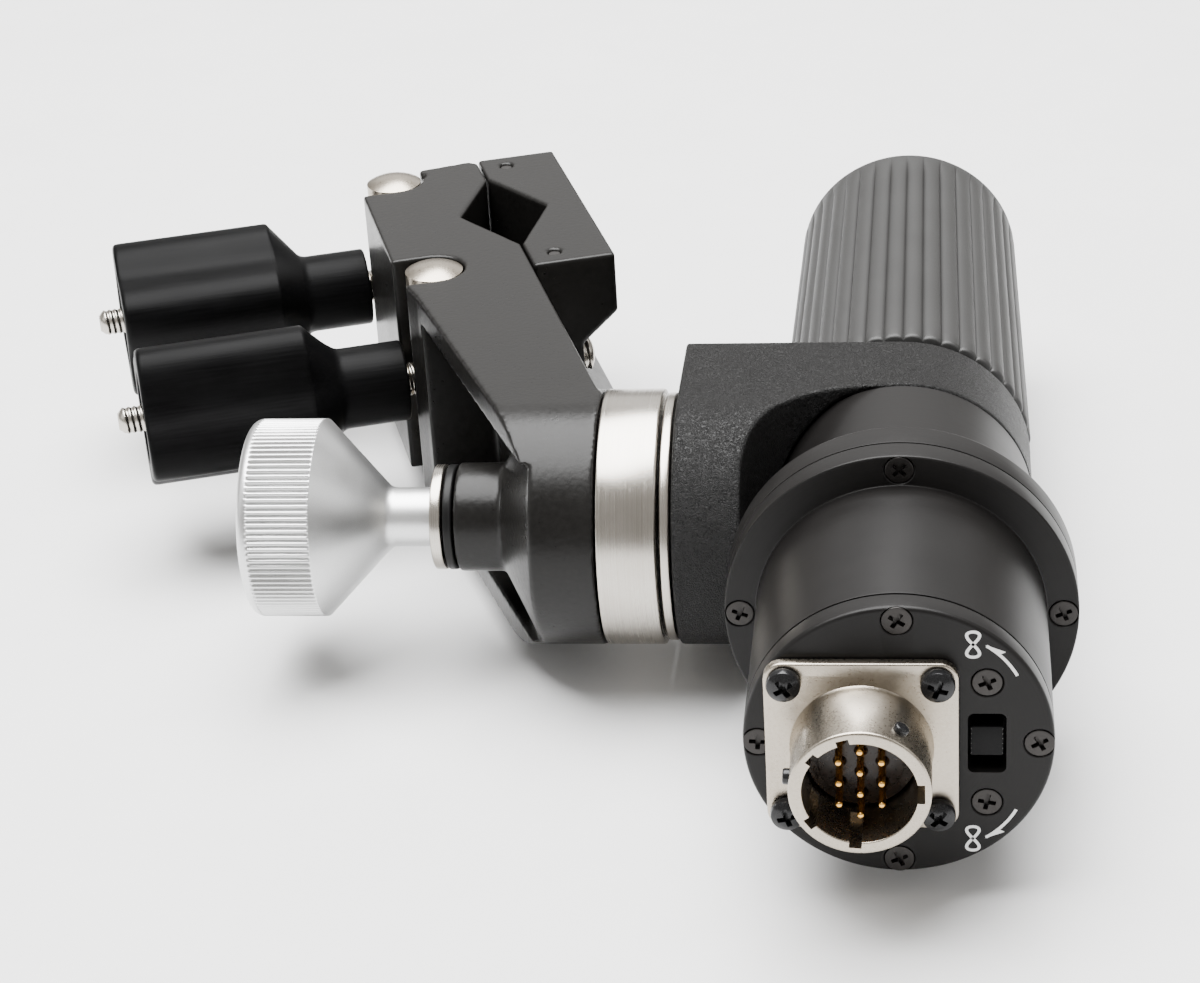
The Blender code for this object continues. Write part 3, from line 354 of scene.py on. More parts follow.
def settle(piece: bpy.types.Object) -> None:
    """Turn the piece's modifiers into its mesh."""
    bpy.context.view_layer.update()
    graph = bpy.context.evaluated_depsgraph_get()
    mesh = bpy.data.meshes.new_from_object(piece.evaluated_get(graph))
    piece.modifiers.clear()
    former, piece.data = piece.data, mesh
    bpy.data.meshes.remove(former)


def combine(
    piece: bpy.types.Object, operation: str, shapes: Iterable[Shape], place: Matrix | None = None
) -> None:
    """Boolean of a piece with shapes.

    Args:
        piece: The piece to change.
        operation: DIFFERENCE, UNION or INTERSECT.
        shapes: Shapes in millimetres. They are used up.
        place: Their frame, where it isn't the piece's own.
    """
    tool = solid("tool", shapes, place or piece.matrix_world)
    modifier = piece.modifiers.new("shape", "BOOLEAN")
    modifier.operation = operation
    modifier.object = tool
    settle(piece)
    bpy.data.objects.remove(tool)


def bevelled(piece: bpy.types.Object, width: float, segments: int = 2) -> None:
    """Round the sharp edges of a piece by a width in millimetres."""
    modifier = piece.modifiers.new("edges", "BEVEL")
    modifier.width = width * MM
    modifier.segments = segments
    modifier.limit_method = "ANGLE"
    modifier.angle_limit = math.radians(40)
    settle(piece)


def cast(piece: bpy.types.Object, voxel: float, passes: int) -> None:
    """Give a piece the soft edges of a painted casting.

    Args:
        piece: The piece to change.
        voxel: Size of its new faces, in millimetres.
        passes: How many times its surface is relaxed.
    """
    remesh = piece.modifiers.new("skin", "REMESH")
    remesh.mode = "VOXEL"
    remesh.voxel_size = voxel * MM
    smooth = piece.modifiers.new("edges", "SMOOTH")
    smooth.factor = 0.5
    smooth.iterations = passes
    settle(piece)
    piece.data.shade_smooth()


@dataclass(frozen=True)
class Finish:
    """Procedural material of one real finish.

    The colour and the roughness run between two values with the grain and with broad soft patches.
    """

    slot: str
    dark: Colour
    light: Colour
    grain: Grain
    grain_size: float
    roughness: Flat
    relief: float
    metallic: float = 0.0
    specular: float = 0.5
    coat: float = 0.0
    tone: str = ""

    @property
    def name(self) -> str:
        """Name of the material."""
        return f"look_{self.slot}{self.tone}"

    def material(self) -> bpy.types.Material:
        """Material of this finish, made once.

        Returns:
            The node material.
        """
        found = bpy.data.materials.get(self.name)
        if found:
            return found
        material = bpy.data.materials.new(self.name)
        material.use_nodes = True
        tree = material.node_tree
        shader = tree.nodes["Principled BSDF"]
        shader.inputs["Metallic"].default_value = self.metallic
        shader.inputs["Specular IOR Level"].default_value = self.specular
        shader.inputs["Coat Weight"].default_value = self.coat
        shader.inputs["Coat Roughness"].default_value = 0.12
        grain = self._grain(tree)
        patches = self._noise(tree, 9.0, 3.0)
        tree.links.new(self._object_coordinates(tree), patches.inputs["Vector"])
        mixed = tree.nodes.new("ShaderNodeMath")
        mixed.operation = "MULTIPLY_ADD"
        mixed.inputs[1].default_value = 0.6
        halved = tree.nodes.new("ShaderNodeMath")
        halved.operation = "MULTIPLY"
        halved.inputs[1].default_value = 0.4
        tree.links.new(patches.outputs["Fac"], halved.inputs[0])
        tree.links.new(grain, mixed.inputs[0])
        tree.links.new(halved.outputs[0], mixed.inputs[2])
        colours = tree.nodes.new("ShaderNodeValToRGB")
        colours.color_ramp.elements[0].position, colours.color_ramp.elements[1].position = 0.3, 0.7
        colours.color_ramp.elements[0].color = (*self.dark, 1)
        colours.color_ramp.elements[1].color = (*self.light, 1)
        tree.links.new(mixed.outputs[0], colours.inputs["Fac"])
        tree.links.new(colours.outputs["Color"], shader.inputs["Base Color"])
        gloss = tree.nodes.new("ShaderNodeMapRange")
        gloss.inputs["From Min"].default_value, gloss.inputs["From Max"].default_value = 0.3, 0.7
        gloss.inputs["To Min"].default_value, gloss.inputs["To Max"].default_value = self.roughness
        tree.links.new(mixed.outputs[0], gloss.inputs["Value"])
        tree.links.new(gloss.outputs["Result"], shader.inputs["Roughness"])
        bump = tree.nodes.new("ShaderNodeBump")
        bump.inputs["Strength"].default_value = 1.0
        bump.inputs["Distance"].default_value = self.relief * MM
        tree.links.new(grain, bump.inputs["Height"])
        tree.links.new(bump.outputs["Normal"], shader.inputs["Normal"])
        return material

    def _noise(self, tree: bpy.types.NodeTree, size: float, detail: float) -> bpy.types.Node:
        """Noise whose features are about this many millimetres."""
        noise = tree.nodes.new("ShaderNodeTexNoise")
        noise.inputs["Scale"].default_value = 1 / (size * MM)
        noise.inputs["Detail"].default_value = detail
        return noise

    def _object_coordinates(self, tree: bpy.types.NodeTree) -> bpy.types.NodeSocket:
        """Coordinates that stay with the piece."""
        return tree.nodes.new("ShaderNodeTexCoord").outputs["Object"]

    def _grain(self, tree: bpy.types.NodeTree) -> bpy.types.NodeSocket:
        """Grain of the finish.

        Args:
            tree: Tree that the nodes are added to.

        Returns:
            Socket with the grain's height, from 0 to 1.
        """
        place = self._object_coordinates(tree)
        noise = self._noise(tree, self.grain_size, 4.0)
        if self.grain in (Grain.TURNED, Grain.DRAWN):
            parts = tree.nodes.new("ShaderNodeSeparateXYZ")
            tree.links.new(place, parts.inputs[0])
            joined = tree.nodes.new("ShaderNodeCombineXYZ")
            if self.grain is Grain.TURNED:
                across = tree.nodes.new("ShaderNodeCombineXYZ")
                tree.links.new(parts.outputs["X"], across.inputs["X"])
                tree.links.new(parts.outputs["Y"], across.inputs["Y"])
                reach = tree.nodes.new("ShaderNodeVectorMath")
                reach.operation = "LENGTH"
                tree.links.new(across.outputs[0], reach.inputs[0])
                tree.links.new(reach.outputs["Value"], joined.inputs["X"])
                tree.links.new(parts.outputs["Z"], joined.inputs["Z"])
            else:
                shrunk = tree.nodes.new("ShaderNodeMath")
                shrunk.operation = "MULTIPLY"
                shrunk.inputs[1].default_value = 0.04
                tree.links.new(parts.outputs["Z"], shrunk.inputs[0])
                tree.links.new(parts.outputs["X"], joined.inputs["X"])
                tree.links.new(parts.outputs["Y"], joined.inputs["Y"])
                tree.links.new(shrunk.outputs[0], joined.inputs["Z"])
            tree.links.new(joined.outputs[0], noise.inputs["Vector"])
            return noise.outputs["Fac"]
        tree.links.new(place, noise.inputs["Vector"])
        if self.grain is Grain.EVEN:
            return noise.outputs["Fac"]
        noise.inputs["Distortion"].default_value = 1.6
        noise.inputs["Roughness"].default_value = 0.35
        ridges = tree.nodes.new("ShaderNodeMapRange")
        ridges.interpolation_type = "SMOOTHSTEP"
        ridges.inputs["From Min"].default_value, ridges.inputs["From Max"].default_value = 0.36, 0.62
        tree.links.new(noise.outputs["Fac"], ridges.inputs["Value"])
        return ridges.outputs["Result"]


ANODISED = Finish("black_anodised", (0.0045, 0.0041, 0.004), (0.0085, 0.0078, 0.0074), Grain.TURNED, 0.22,
                  (0.34, 0.44), 0.004, specular=0.16)  # fmt: skip
CRINKLE = Finish("crinkle_paint", (0.0035, 0.0034, 0.0035), (0.011, 0.0107, 0.0105), Grain.CRINKLE, 0.36,
                 (0.36, 0.52), 0.15, specular=0.2)  # fmt: skip
CLAMP_PAINT = Finish("clamp_paint", (0.0048, 0.0045, 0.0042), (0.0085, 0.008, 0.0074), Grain.EVEN, 0.8,
                     (0.26, 0.36), 0.03, specular=0.2)  # fmt: skip
STAINLESS = Finish("stainless_steel", (0.38, 0.35, 0.31), (0.56, 0.53, 0.48), Grain.TURNED, 0.18,
                   (0.20, 0.32), 0.006, metallic=1.0)  # fmt: skip
BLASTED = Finish("bare_aluminium", (0.58, 0.585, 0.585), (0.72, 0.725, 0.725), Grain.EVEN, 0.14,
                 (0.30, 0.42), 0.008, metallic=1.0)  # fmt: skip
NICKEL = Finish("nickel_plate", (0.34, 0.30, 0.245), (0.43, 0.385, 0.32), Grain.EVEN, 0.35,
                (0.24, 0.34), 0.002, metallic=1.0)  # fmt: skip
GOLD = Finish("gold_plate", (0.72, 0.40, 0.10), (0.86, 0.52, 0.16), Grain.TURNED, 0.1,
              (0.18, 0.28), 0.002, metallic=1.0)  # fmt: skip
FLAT_SCREW = Finish("black_oxide", (0.016, 0.0145, 0.0138), (0.034, 0.031, 0.029), Grain.TURNED, 0.12,
                    (0.28, 0.42), 0.004, metallic=0.6, specular=0.4)  # fmt: skip
PAN_SCREW = Finish("black_oxide", (0.012, 0.012, 0.0125), (0.022, 0.022, 0.023), Grain.EVEN, 0.3,
                   (0.16, 0.26), 0.002, metallic=0.5, specular=0.4, tone="_bright")  # fmt: skip
RIBBED = Finish("grip_rubber", (0.011, 0.0108, 0.0105), (0.02, 0.0197, 0.019), Grain.EVEN, 0.2,
                (0.44, 0.58), 0.008, specular=0.45)  # fmt: skip
KNOB_PLASTIC = Finish("knob_plastic", (0.0012, 0.0012, 0.0013), (0.0036, 0.0036, 0.0038), Grain.DRAWN, 0.35,
                      (0.34, 0.48), 0.014, specular=0.05)  # fmt: skip
WASHER_PLASTIC = Finish("knob_plastic", (0.004, 0.004, 0.004), (0.008, 0.008, 0.008), Grain.TURNED, 0.2,
                        (0.34, 0.46), 0.004, specular=0.15, tone="_turned")  # fmt: skip
INSERT = Finish("insert_plastic", (0.010, 0.0062, 0.0045), (0.021, 0.013, 0.009), Grain.EVEN, 0.6,
                (0.22, 0.36), 0.006, specular=0.3)  # fmt: skip
SLIDER = Finish("slider_plastic", (0.004, 0.004, 0.0042), (0.008, 0.008, 0.0084), Grain.EVEN, 0.2,
                (0.32, 0.44), 0.004, specular=0.08)  # fmt: skip
# Same plastic as the slider, made much lighter: a painted highlight on the tops of the ribs, not a different
# material.
SLIDER_RIBS_PAINTED_HIGHLIGHT = Finish("slider_plastic", (0.12, 0.12, 0.118), (0.18, 0.18, 0.177), Grain.EVEN, 0.2,
                     (0.28, 0.40), 0.004, tone="_ribs_painted_highlight")  # fmt: skip
INK = Finish("slider_plastic", (0.72, 0.72, 0.71), (0.84, 0.84, 0.83), Grain.EVEN, 0.25,
             (0.45, 0.60), 0.003, tone="_ink")  # fmt: skip
BOARD = Finish("circuit_board", (0.014, 0.08, 0.03), (0.03, 0.13, 0.05), Grain.EVEN, 1.2,
               (0.30, 0.45), 0.01, coat=0.3)  # fmt: skip
BRASS = Finish("brass", (0.62, 0.44, 0.18), (0.76, 0.57, 0.26), Grain.TURNED, 0.2,
               (0.24, 0.38), 0.005, metallic=1.0)  # fmt: skip


def dress(piece: bpy.types.Object, finish: Finish, body: Body, *stands_for: str) -> None:
    """Finish a piece and fix it to the frame.

    Args:
        piece: The piece, in place.
        finish: Its finish.
        body: The body that it rides on.
        *stands_for: Frame nodes that it replaces.
    """
    mesh = piece.data
    mesh.materials.clear()
    mesh.materials.append(finish.material())
    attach(piece, body.value)
    if stands_for:
        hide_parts(*stands_for)
    LOG.info("%s: %d faces, %s, on %s", piece.name, len(mesh.polygons), finish.slot, body.value)


def smoothed(piece: bpy.types.Object, degrees: float = 32.0) -> bpy.types.Object:
    """The same piece, shaded smoothly except over edges sharper than an angle."""
    piece.data.shade_smooth()
    piece.data.set_sharp_from_angle(angle=math.radians(degrees))
    return piece


def around(radius: float, count: int) -> list[Flat]:
    """Places on a circle, as (aside, up)."""
    angles = [2 * math.pi * index / count for index in range(count)]
    return [(radius * math.cos(a), radius * math.sin(a)) for a in angles]


def cross_recess(head_radius: float, top: float, depth: float) -> Shape:
    """Cross that a screwdriver fits, sunk from a place along +Z."""
    reach, half = 0.60 * head_radius, 0.16 * head_radius
    corners = []
    for quarter in range(4):
        c, s = round(math.cos(quarter * math.pi / 2)), round(math.sin(quarter * math.pi / 2))
        for x, y, ease in ((reach, -half, 0.12), (reach, half, 0.12), (half, half, 0.08)):
            corners.append((x * c - y * s, x * s + y * c, ease * head_radius / 2))
    return prism(eased(corners, 3), top - depth, top + 1.0)


@dataclass(frozen=True)
class FlatScrew:
    """Countersunk screw, flush with the face that it is in."""

    head_radius: float = 2.05
    shank_radius: float = 0.85
    land: float = 0.25
    gap: float = 0.15

    def build(self, name: str, place: Matrix, length: float) -> None:
        """Make one screw at a place whose +Z points out of its head.

        Args:
            name: Frame node that it stands for.
            place: Frame at the middle of its head.
            length: Length of the whole screw.
        """
        cone = self.land + self.head_radius - self.shank_radius
        corners = [
            (0, 0, 0), (self.head_radius, 0, 0.14), (self.head_radius, -self.land, 0),
            (self.shank_radius, -cone, 0), (self.shank_radius, -length, 0.2), (0, -length, 0),
        ]  # fmt: skip
        screw = solid(f"{name}_look", [turned(corners, 48)], place)
        combine(screw, "DIFFERENCE", [cross_recess(self.head_radius, 0.0, 0.9)])
        dress(smoothed(screw), FLAT_SCREW, Body.CONTROLLER, name)

    def hole(self, depth: float = 10.0) -> Shape:
        """Hole for the screw, from just above the face."""
        outer, inner = self.head_radius + self.gap, self.shank_radius + self.gap
        cone = self.land + self.head_radius - self.shank_radius
        mouth = [(0, 1), (outer + 0.12, 1), (outer + 0.12, 0), (outer, -0.12), (outer, -self.land)]
        return revolve([*mouth, (inner, -cone), (inner, -depth), (0, -depth)], 48)


@dataclass(frozen=True)
class Housing:
    """Rear cover, rear barrel and the front housing, with their screws."""

    layout: Layout
    radius: float = 21.16
    bore: float = 17.6
    cover_depth: float = 3.7
    barrel_start: float = 4.0
    flange_radius: float = 25.85
    flange_start: float = 35.0
    flange_joint: float = 39.2
    flange_end: float = 44.8
    front_radius: float = 20.0
    front_end: float = 70.5
    seat: float = 0.3
    cover_screw_circle: float = 19.06
    flange_screw_circle: float = 23.57
    switch_screw_up: float = 9.54
    slot_size: Flat = (5.2, 9.4)
    screw: FlatScrew = FlatScrew()

    def build(self) -> None:
        """Make and dress every piece."""
        self.cover()
        self.barrel()
        self.front()
        self.screws()
        self.end_marks()

    def cover(self) -> None:
        """Disc with the holes for the connector, the switch and the screws."""
        back = -self.cover_depth
        corners = [(0, 0, 0), (self.radius, 0, 0.7), (self.radius, back, 0.2), (0, back, 0)]
        cover = solid("rear_cover_look", [turned(corners, 180)], self.layout.grip)
        aside = self.layout.switch_aside
        places = around(self.cover_screw_circle, 4)
        places += [(aside, self.switch_screw_up), (aside, -self.switch_screw_up)]
        slot = moved(prism(rounded_box(*self.slot_size, 0.9), -5, 1), aside)
        opening = moved(rod(8.9, -5, 1, 96), self.layout.connector_aside, self.layout.connector_up)
        combine(cover, "DIFFERENCE", [*(moved(self.screw.hole(), x, y) for x, y in places), slot, opening])
        dress(smoothed(cover), ANODISED, Body.CONTROLLER, "rear_cover")

    def barrel(self) -> None:
        """Tube behind the flange, with the flange's rear half."""
        corners = [
            (self.bore, -self.barrel_start, 0), (self.radius, -self.barrel_start, 0.12),
            (self.radius, -self.flange_start, 0.25), (self.flange_radius, -self.flange_start, 0.4),
            (self.flange_radius, -self.flange_joint, 0.1), (self.bore, -self.flange_joint, 0),
        ]  # fmt: skip
        barrel = solid("rear_barrel_look", [turned(corners, 180, hollow=True)], self.layout.grip)
        places = around(self.flange_screw_circle, 4)
        holes = [moved(self.screw.hole(8.0), x, y, -self.flange_start) for x, y in places]
        combine(barrel, "DIFFERENCE", holes)
        dress(smoothed(barrel), ANODISED, Body.CONTROLLER, "rear_barrel")

    def front(self) -> None:
        """Front half of the flange and the housing of the gears and bearings."""
        start = self.flange_joint + self.seat
        corners = [
            (15.6, -33.3, 0), (17.3, -33.3, 0), (17.3, -start, 0), (self.flange_radius, -start, 0.1),
            (self.flange_radius, -self.flange_end, 0.6), (self.front_radius, -self.flange_end, 0.5),
            (self.front_radius, -self.front_end, 0.4), (4.6, -self.front_end, 0), (4.6, -62.2, 0),
            (8.3, -62.2, 0), (8.3, -57.0, 0), (14.6, -57.0, 0), (14.6, -52.6, 0), (15.6, -52.6, 0),
        ]  # fmt: skip
        front = solid("main_housing_look", [turned(corners, 180, hollow=True)], self.layout.grip)
        dress(smoothed(front), ANODISED, Body.CONTROLLER, "main_housing")

    def screws(self) -> None:
        """Flush screws of the cover, the switch and the flange."""
        sunk = 0.05 * MM
        for number, (x, y) in enumerate(around(self.cover_screw_circle, 4), 1):
            place = self.layout.on_cover(x, y) @ Matrix.Translation((0, 0, -sunk))
            self.screw.build(f"cover_screw_{number}", place @ Matrix.Rotation(0.5 * number, 4, "Z"), 8.5)
        for number, y in enumerate((self.switch_screw_up, -self.switch_screw_up), 1):
            place = self.layout.on_cover(self.layout.switch_aside, y) @ Matrix.Translation((0, 0, -sunk))
            turned_head = place @ Matrix.Rotation(1.0 - 0.6 * number, 4, "Z")
            self.screw.build(f"switch_screw_{number}", turned_head, 6.0)
        for number, (x, y) in enumerate(around(self.flange_screw_circle, 4), 1):
            down = Matrix.Translation((0, 0, -self.flange_start * MM - sunk))
            place = self.layout.on_cover(x, y) @ down @ Matrix.Rotation(0.4 * number, 4, "Z")
            self.screw.build(f"flange_screw_{number}", place, 8.0)

    def end_marks(self) -> None:
        """Two generic end-of-range signs, each with a curved half arrow, printed on the cover."""
        shapes = []
        for side in (1, -1):
            loops = [(10.1 + 0.86 * math.sin(2 * t), 15.5 + 1.95 * math.sin(t)) for t in self._turns(48)]
            shapes.append(ribbon([(x, side * y) for x, y in loops], 0.42, -0.02, 0.03, closed=True))
            swing = arc((5.2, 5.2), 12.1, 27.0, 56.5, 14)
            shapes.append(ribbon([(x, side * y) for x, y in swing], 0.42, -0.02, 0.03))
            corners = [(11.72, 15.45, 0.1), (14.45, 14.35, 0.12), (13.55, 13.95, 0.1), (12.2, 15.0, 0.1)]
            barb = eased(corners, 2)
            shapes.append(prism([(x, side * y) for x, y in barb], -0.015, 0.035))
        marks = solid("end_marks", shapes, self.layout.grip)
        dress(smoothed(marks), INK, Body.CONTROLLER)

    def _turns(self, steps: int) -> list[float]:
        """Angles of one full turn."""
        return [2 * math.pi * step / steps for step in range(steps)]


@dataclass(frozen=True)
class Connector:
    """Round receptacle with its flange, key ways, studs, insert, pins and screws."""

    layout: Layout
    flange: float = 26.2
    flange_back: float = 0.3
    flange_front: float = 1.9
    corner: float = 2.6
    spacing: float = 20.62
    radius: float = 9.525
    bore: float = 7.7
    rim: float = 13.4
    rear_radius: float = 8.6
    rear: float = -8.0
    key_depth: float = 0.9
    keys: tuple[Flat, ...] = ((0.0, 2.9), (105.0, 1.7), (140.0, 1.7), (215.0, 1.7), (265.0, 1.7))
    studs: tuple[float, ...] = (56.0, 176.0, 296.0)
    stud_back: float = 3.2
    insert_face: float = 5.2
    pin_pitch: float = 3.3

    @property
    def place(self) -> Matrix:
        """Frame of the connector, on its own axis."""
        return self.layout.on_cover(self.layout.connector_aside, self.layout.connector_up)

    def build(self) -> None:
        """Make and dress every piece."""
        self.shell()
        self.insert()
        self.pins()
        self.screws()

    def corners_of_flange(self) -> list[Flat]:
        """Centres of the four screws."""
        half = self.spacing / 2
        return [(x * half, y * half) for x in (-1, 1) for y in (-1, 1)]

    def shell(self) -> None:
        """Flanged shell, with its key ways and the studs that a coupling ring catches."""
        outline = rounded_box(self.flange, self.flange, self.corner)
        plate = prism(outline, self.flange_back, self.flange_front)
        flange = solid("connector_flange", [plate], self.place)
        bevelled(flange, 0.3, 3)
        holes = [moved(rod(1.0, -3, 3, 32), x, y) for x, y in self.corners_of_flange()]
        combine(flange, "DIFFERENCE", [rod(self.radius - 0.2, -3, 3, 144), *holes])
        dress(smoothed(flange), NICKEL, Body.CONTROLLER)
        inside = self.flange_back - 0.2
        corners = [
            (self.bore, self.rim, 0.25), (self.radius, self.rim, 0.45),
            (self.radius, self.flange_front + 0.45, 0),
            (self.radius + 0.25, self.flange_front + 0.02, 0),
            (self.radius - 0.22, self.flange_front - 0.05, 0),
            (self.radius - 0.22, inside, 0), (self.rear_radius, inside - 0.1, 0),
            (self.rear_radius, self.rear, 0.3),
            (self.bore, self.rear, 0.2),
        ]  # fmt: skip
        shell = solid("connector_shell_look", [turned(corners, 144, hollow=True)], self.place)
        ways = []
        for angle, width in self.keys:
            low = (self.bore - 1.5, -width / 2, self.insert_face + 1)
            high = (self.bore + self.key_depth, width / 2, self.rim + 1)
            ways.append(moved(block(low, high), turn=angle))
        combine(shell, "DIFFERENCE", ways)
        dress(smoothed(shell), NICKEL, Body.CONTROLLER, "connector_shell")
        studs = [self.stud(angle) for angle in self.studs]
        dress(smoothed(solid("connector_studs", studs, self.place)), PAN_SCREW, Body.CONTROLLER)

    def stud(self, angle: float) -> Shape:
        """Domed stud that stands out of the shell at an angle in degrees."""
        stud = turned([(0, -0.3, 0), (1.1, -0.3, 0), (1.1, 0.85, 0.35), (0, 0.88, 0)], 32)
        bmesh.ops.rotate(stud, cent=(0, 0, 0), matrix=Matrix.Rotation(math.pi / 2, 3, "Y"), verts=stud.verts)
        return moved(stud, self.radius, 0, self.rim - self.stud_back, angle)

    def pin_places(self) -> list[Flat]:
        """Ten pins in columns of three, four and three."""
        places = []
        for column, count in ((-1, 3), (0, 4), (1, 3)):
            x = column * self.pin_pitch * math.sin(math.radians(60))
            places += [(x, self.pin_pitch * (row - (count - 1) / 2)) for row in range(count)]
        return places

    def insert(self) -> None:
        """Dark moulded insert with a raised middle and a hole for each pin."""
        face = self.insert_face
        corners = [
            (0, face, 0), (5.9, face, 0.15), (5.9, face - 0.5, 0), (7.4, face - 0.5, 0.2), (7.4, -10.0, 0.2),
            (0, -10.0, 0),
        ]  # fmt: skip
        insert = solid("connector_insert_look", [turned(corners, 128)], self.place)
        holes = []
        for x, y in self.pin_places():
            mouth = [(0, face + 1), (0.95, face + 1), (0.95, face), (0.66, face - 0.25)]
            holes.append(moved(revolve([*mouth, (0.66, -11), (0, -11)], 32), x, y))
        combine(insert, "DIFFERENCE", holes)
        dress(smoothed(insert), INSERT, Body.CONTROLLER, "connector_insert")

    def pins(self) -> None:
        """Gold contact pins."""
        for number, (x, y) in enumerate(self.pin_places(), 1):
            name = f"contact_pin_{number:02d}"
            corners = [(0, 11.2, 0), (0.5, 11.2, 0.42), (0.5, -12.5, 0.1), (0, -12.5, 0)]
            place = self.place @ Matrix.Translation(Vector((x, y, 0)) * MM)
            pin = solid(f"{name}_look", [turned(corners, 28)], place)
            dress(smoothed(pin, 50), GOLD, Body.CONTROLLER, name)

    def screws(self) -> None:
        """Domed screws in the corners of the flange."""
        for number, (x, y) in enumerate(self.corners_of_flange(), 1):
            name = f"connector_screw_{number}"
            dome = arc((0, 0.1), 4.0, 90, 56, 7)
            head = [(0, 4.1), *dome[1:], (2.35, 3.05), (2.35, 2.25), (2.2, 2.2)]
            profile = [*head, (0.85, 2.2), (0.85, -3.4), (0, -3.4)]
            spot = Matrix.Translation(Vector((x, y, 0)) * MM)
            place = self.place @ spot @ Matrix.Rotation(0.3 * number, 4, "Z")
            screw = solid(f"{name}_look", [revolve(profile, 64)], place)
            combine(screw, "DIFFERENCE", [cross_recess(2.35, 4.1, 1.3)])
            dress(smoothed(screw), PAN_SCREW, Body.CONTROLLER, name)


@dataclass(frozen=True)
class DirectionSwitch:
    """Slider of the slide switch, with its ribs, coloured lighter than the slider as a painted highlight on
    their tops.
    """

    layout: Layout
    width: float = 4.4
    height: float = 4.6
    ribs: int = 6
    rib_share: float = 0.13
    top: float = -0.2

    def build(self) -> None:
        """Make and dress the slider and its ribs, whose lighter colour is a painted highlight."""
        place = self.layout.on_cover(self.layout.switch_aside, 0.0)
        low = (-self.width / 2, -self.height / 2, -3.7)
        high = (self.width / 2, self.height / 2, self.top - 0.35)
        body = solid("switch_slider_look", [block(low, high)], place)
        bevelled(body, 0.15)
        combine(body, "UNION", [block((-0.9, -1.2, -5.8), (0.9, 1.2, -3.0))])
        dress(smoothed(body), SLIDER, Body.SWITCH, "switch_slider")
        pitch = self.height / self.ribs
        across = place @ Matrix.Rotation(math.pi / 2, 4, "Y")
        half = self.width / 2 - 0.05
        shapes = []
        for rib in range(self.ribs):
            centre = (0.45 - self.top, -self.height / 2 + (rib + 0.5) * pitch)
            reach = self.rib_share * pitch
            outline = arc(centre, reach, -90, -270, 8)
            left, low, high = 0.65 - self.top, centre[1] - reach, centre[1] + reach
            shapes.append(prism([*outline, (left, high), (left, low)], -half, half))
        # The ribs get the lighter copy of the slider plastic, which is a painted highlight.
        dress(smoothed(solid("switch_ribs", shapes, across)), SLIDER_RIBS_PAINTED_HIGHLIGHT, Body.SWITCH)


@dataclass(frozen=True)
class Grip:
    """Ribbed turning sleeve and its end cap."""

    layout: Layout
    start: float = 88.3
    end: float = 171.2
    base_radius: float = 20.3
    tip_radius: float = 19.5
    bore: float = 16.1
    ribs: int = 40
    rib_height: float = 0.6
    smooth_tip: float = 7.0
    steps_per_rib: int = 14

    def build(self) -> None:
        """Make and dress the sleeve and the cap."""
        self.sleeve()
        self.cap()

    def ribbed(self, angle: float, radius: float, along: float) -> float:
        """Radius of the sleeve at a place: round ribs that fade out before the tip."""
        if radius <= self.bore + 0.01:
            return radius
        crown = math.sqrt(abs(math.sin(angle * self.ribs / 2)))
        share = min(1.0, max(0.0, (self.end - 2.0 - abs(along)) / self.smooth_tip))
        return radius - self.rib_height * share * share * (3 - 2 * share) * (1 - crown)

    def sleeve(self) -> None:
        """Tapered sleeve, rounded at both ends."""
        tip_start = self.end - 3.4
        outer = [(self.base_radius - 0.45, -self.start), (self.base_radius - 0.12, -self.start - 0.25)]
        outer.append((self.base_radius, -self.start - 0.8))
        for row in range(1, 25):
            share = row / 24
            radius = self.base_radius + (self.tip_radius - self.base_radius) * share
            outer.append((radius, -self.start - 0.8 - (tip_start - self.start - 0.8) * share))
        for turn in (0.3, 0.6, 0.9, 1.25, 1.57):
            radius = self.tip_radius - 2.4 * (1 - math.cos(turn))
            outer.append((radius, -tip_start - 3.4 * math.sin(turn)))
        profile = [*outer, (self.bore, -self.end), (self.bore, -self.start)]
        steps = self.ribs * self.steps_per_rib
        sleeve = solid("grip_sleeve_look", [revolve(profile, steps, True, self.ribbed)], self.layout.grip)
        dress(smoothed(sleeve, 50), RIBBED, Body.GRIP, "grip_sleeve")

    def cap(self) -> None:
        """End cap with a shallow dish and a centre mark."""
        corners = [
            (0, -164.5, 0), (13.3, -164.5, 0), (13.3, -167.5, 0), (15.8, -167.5, 0.1), (15.8, -170.2, 0.7),
            (13.0, -170.2, 0.3), (12.4, -169.8, 0.3), (1.2, -169.8, 0.1), (0, -169.2, 0),
        ]  # fmt: skip
        cap = solid("grip_end_cap_look", [turned(corners, 144)], self.layout.grip)
        dress(smoothed(cap), ANODISED, Body.GRIP, "grip_end_cap")


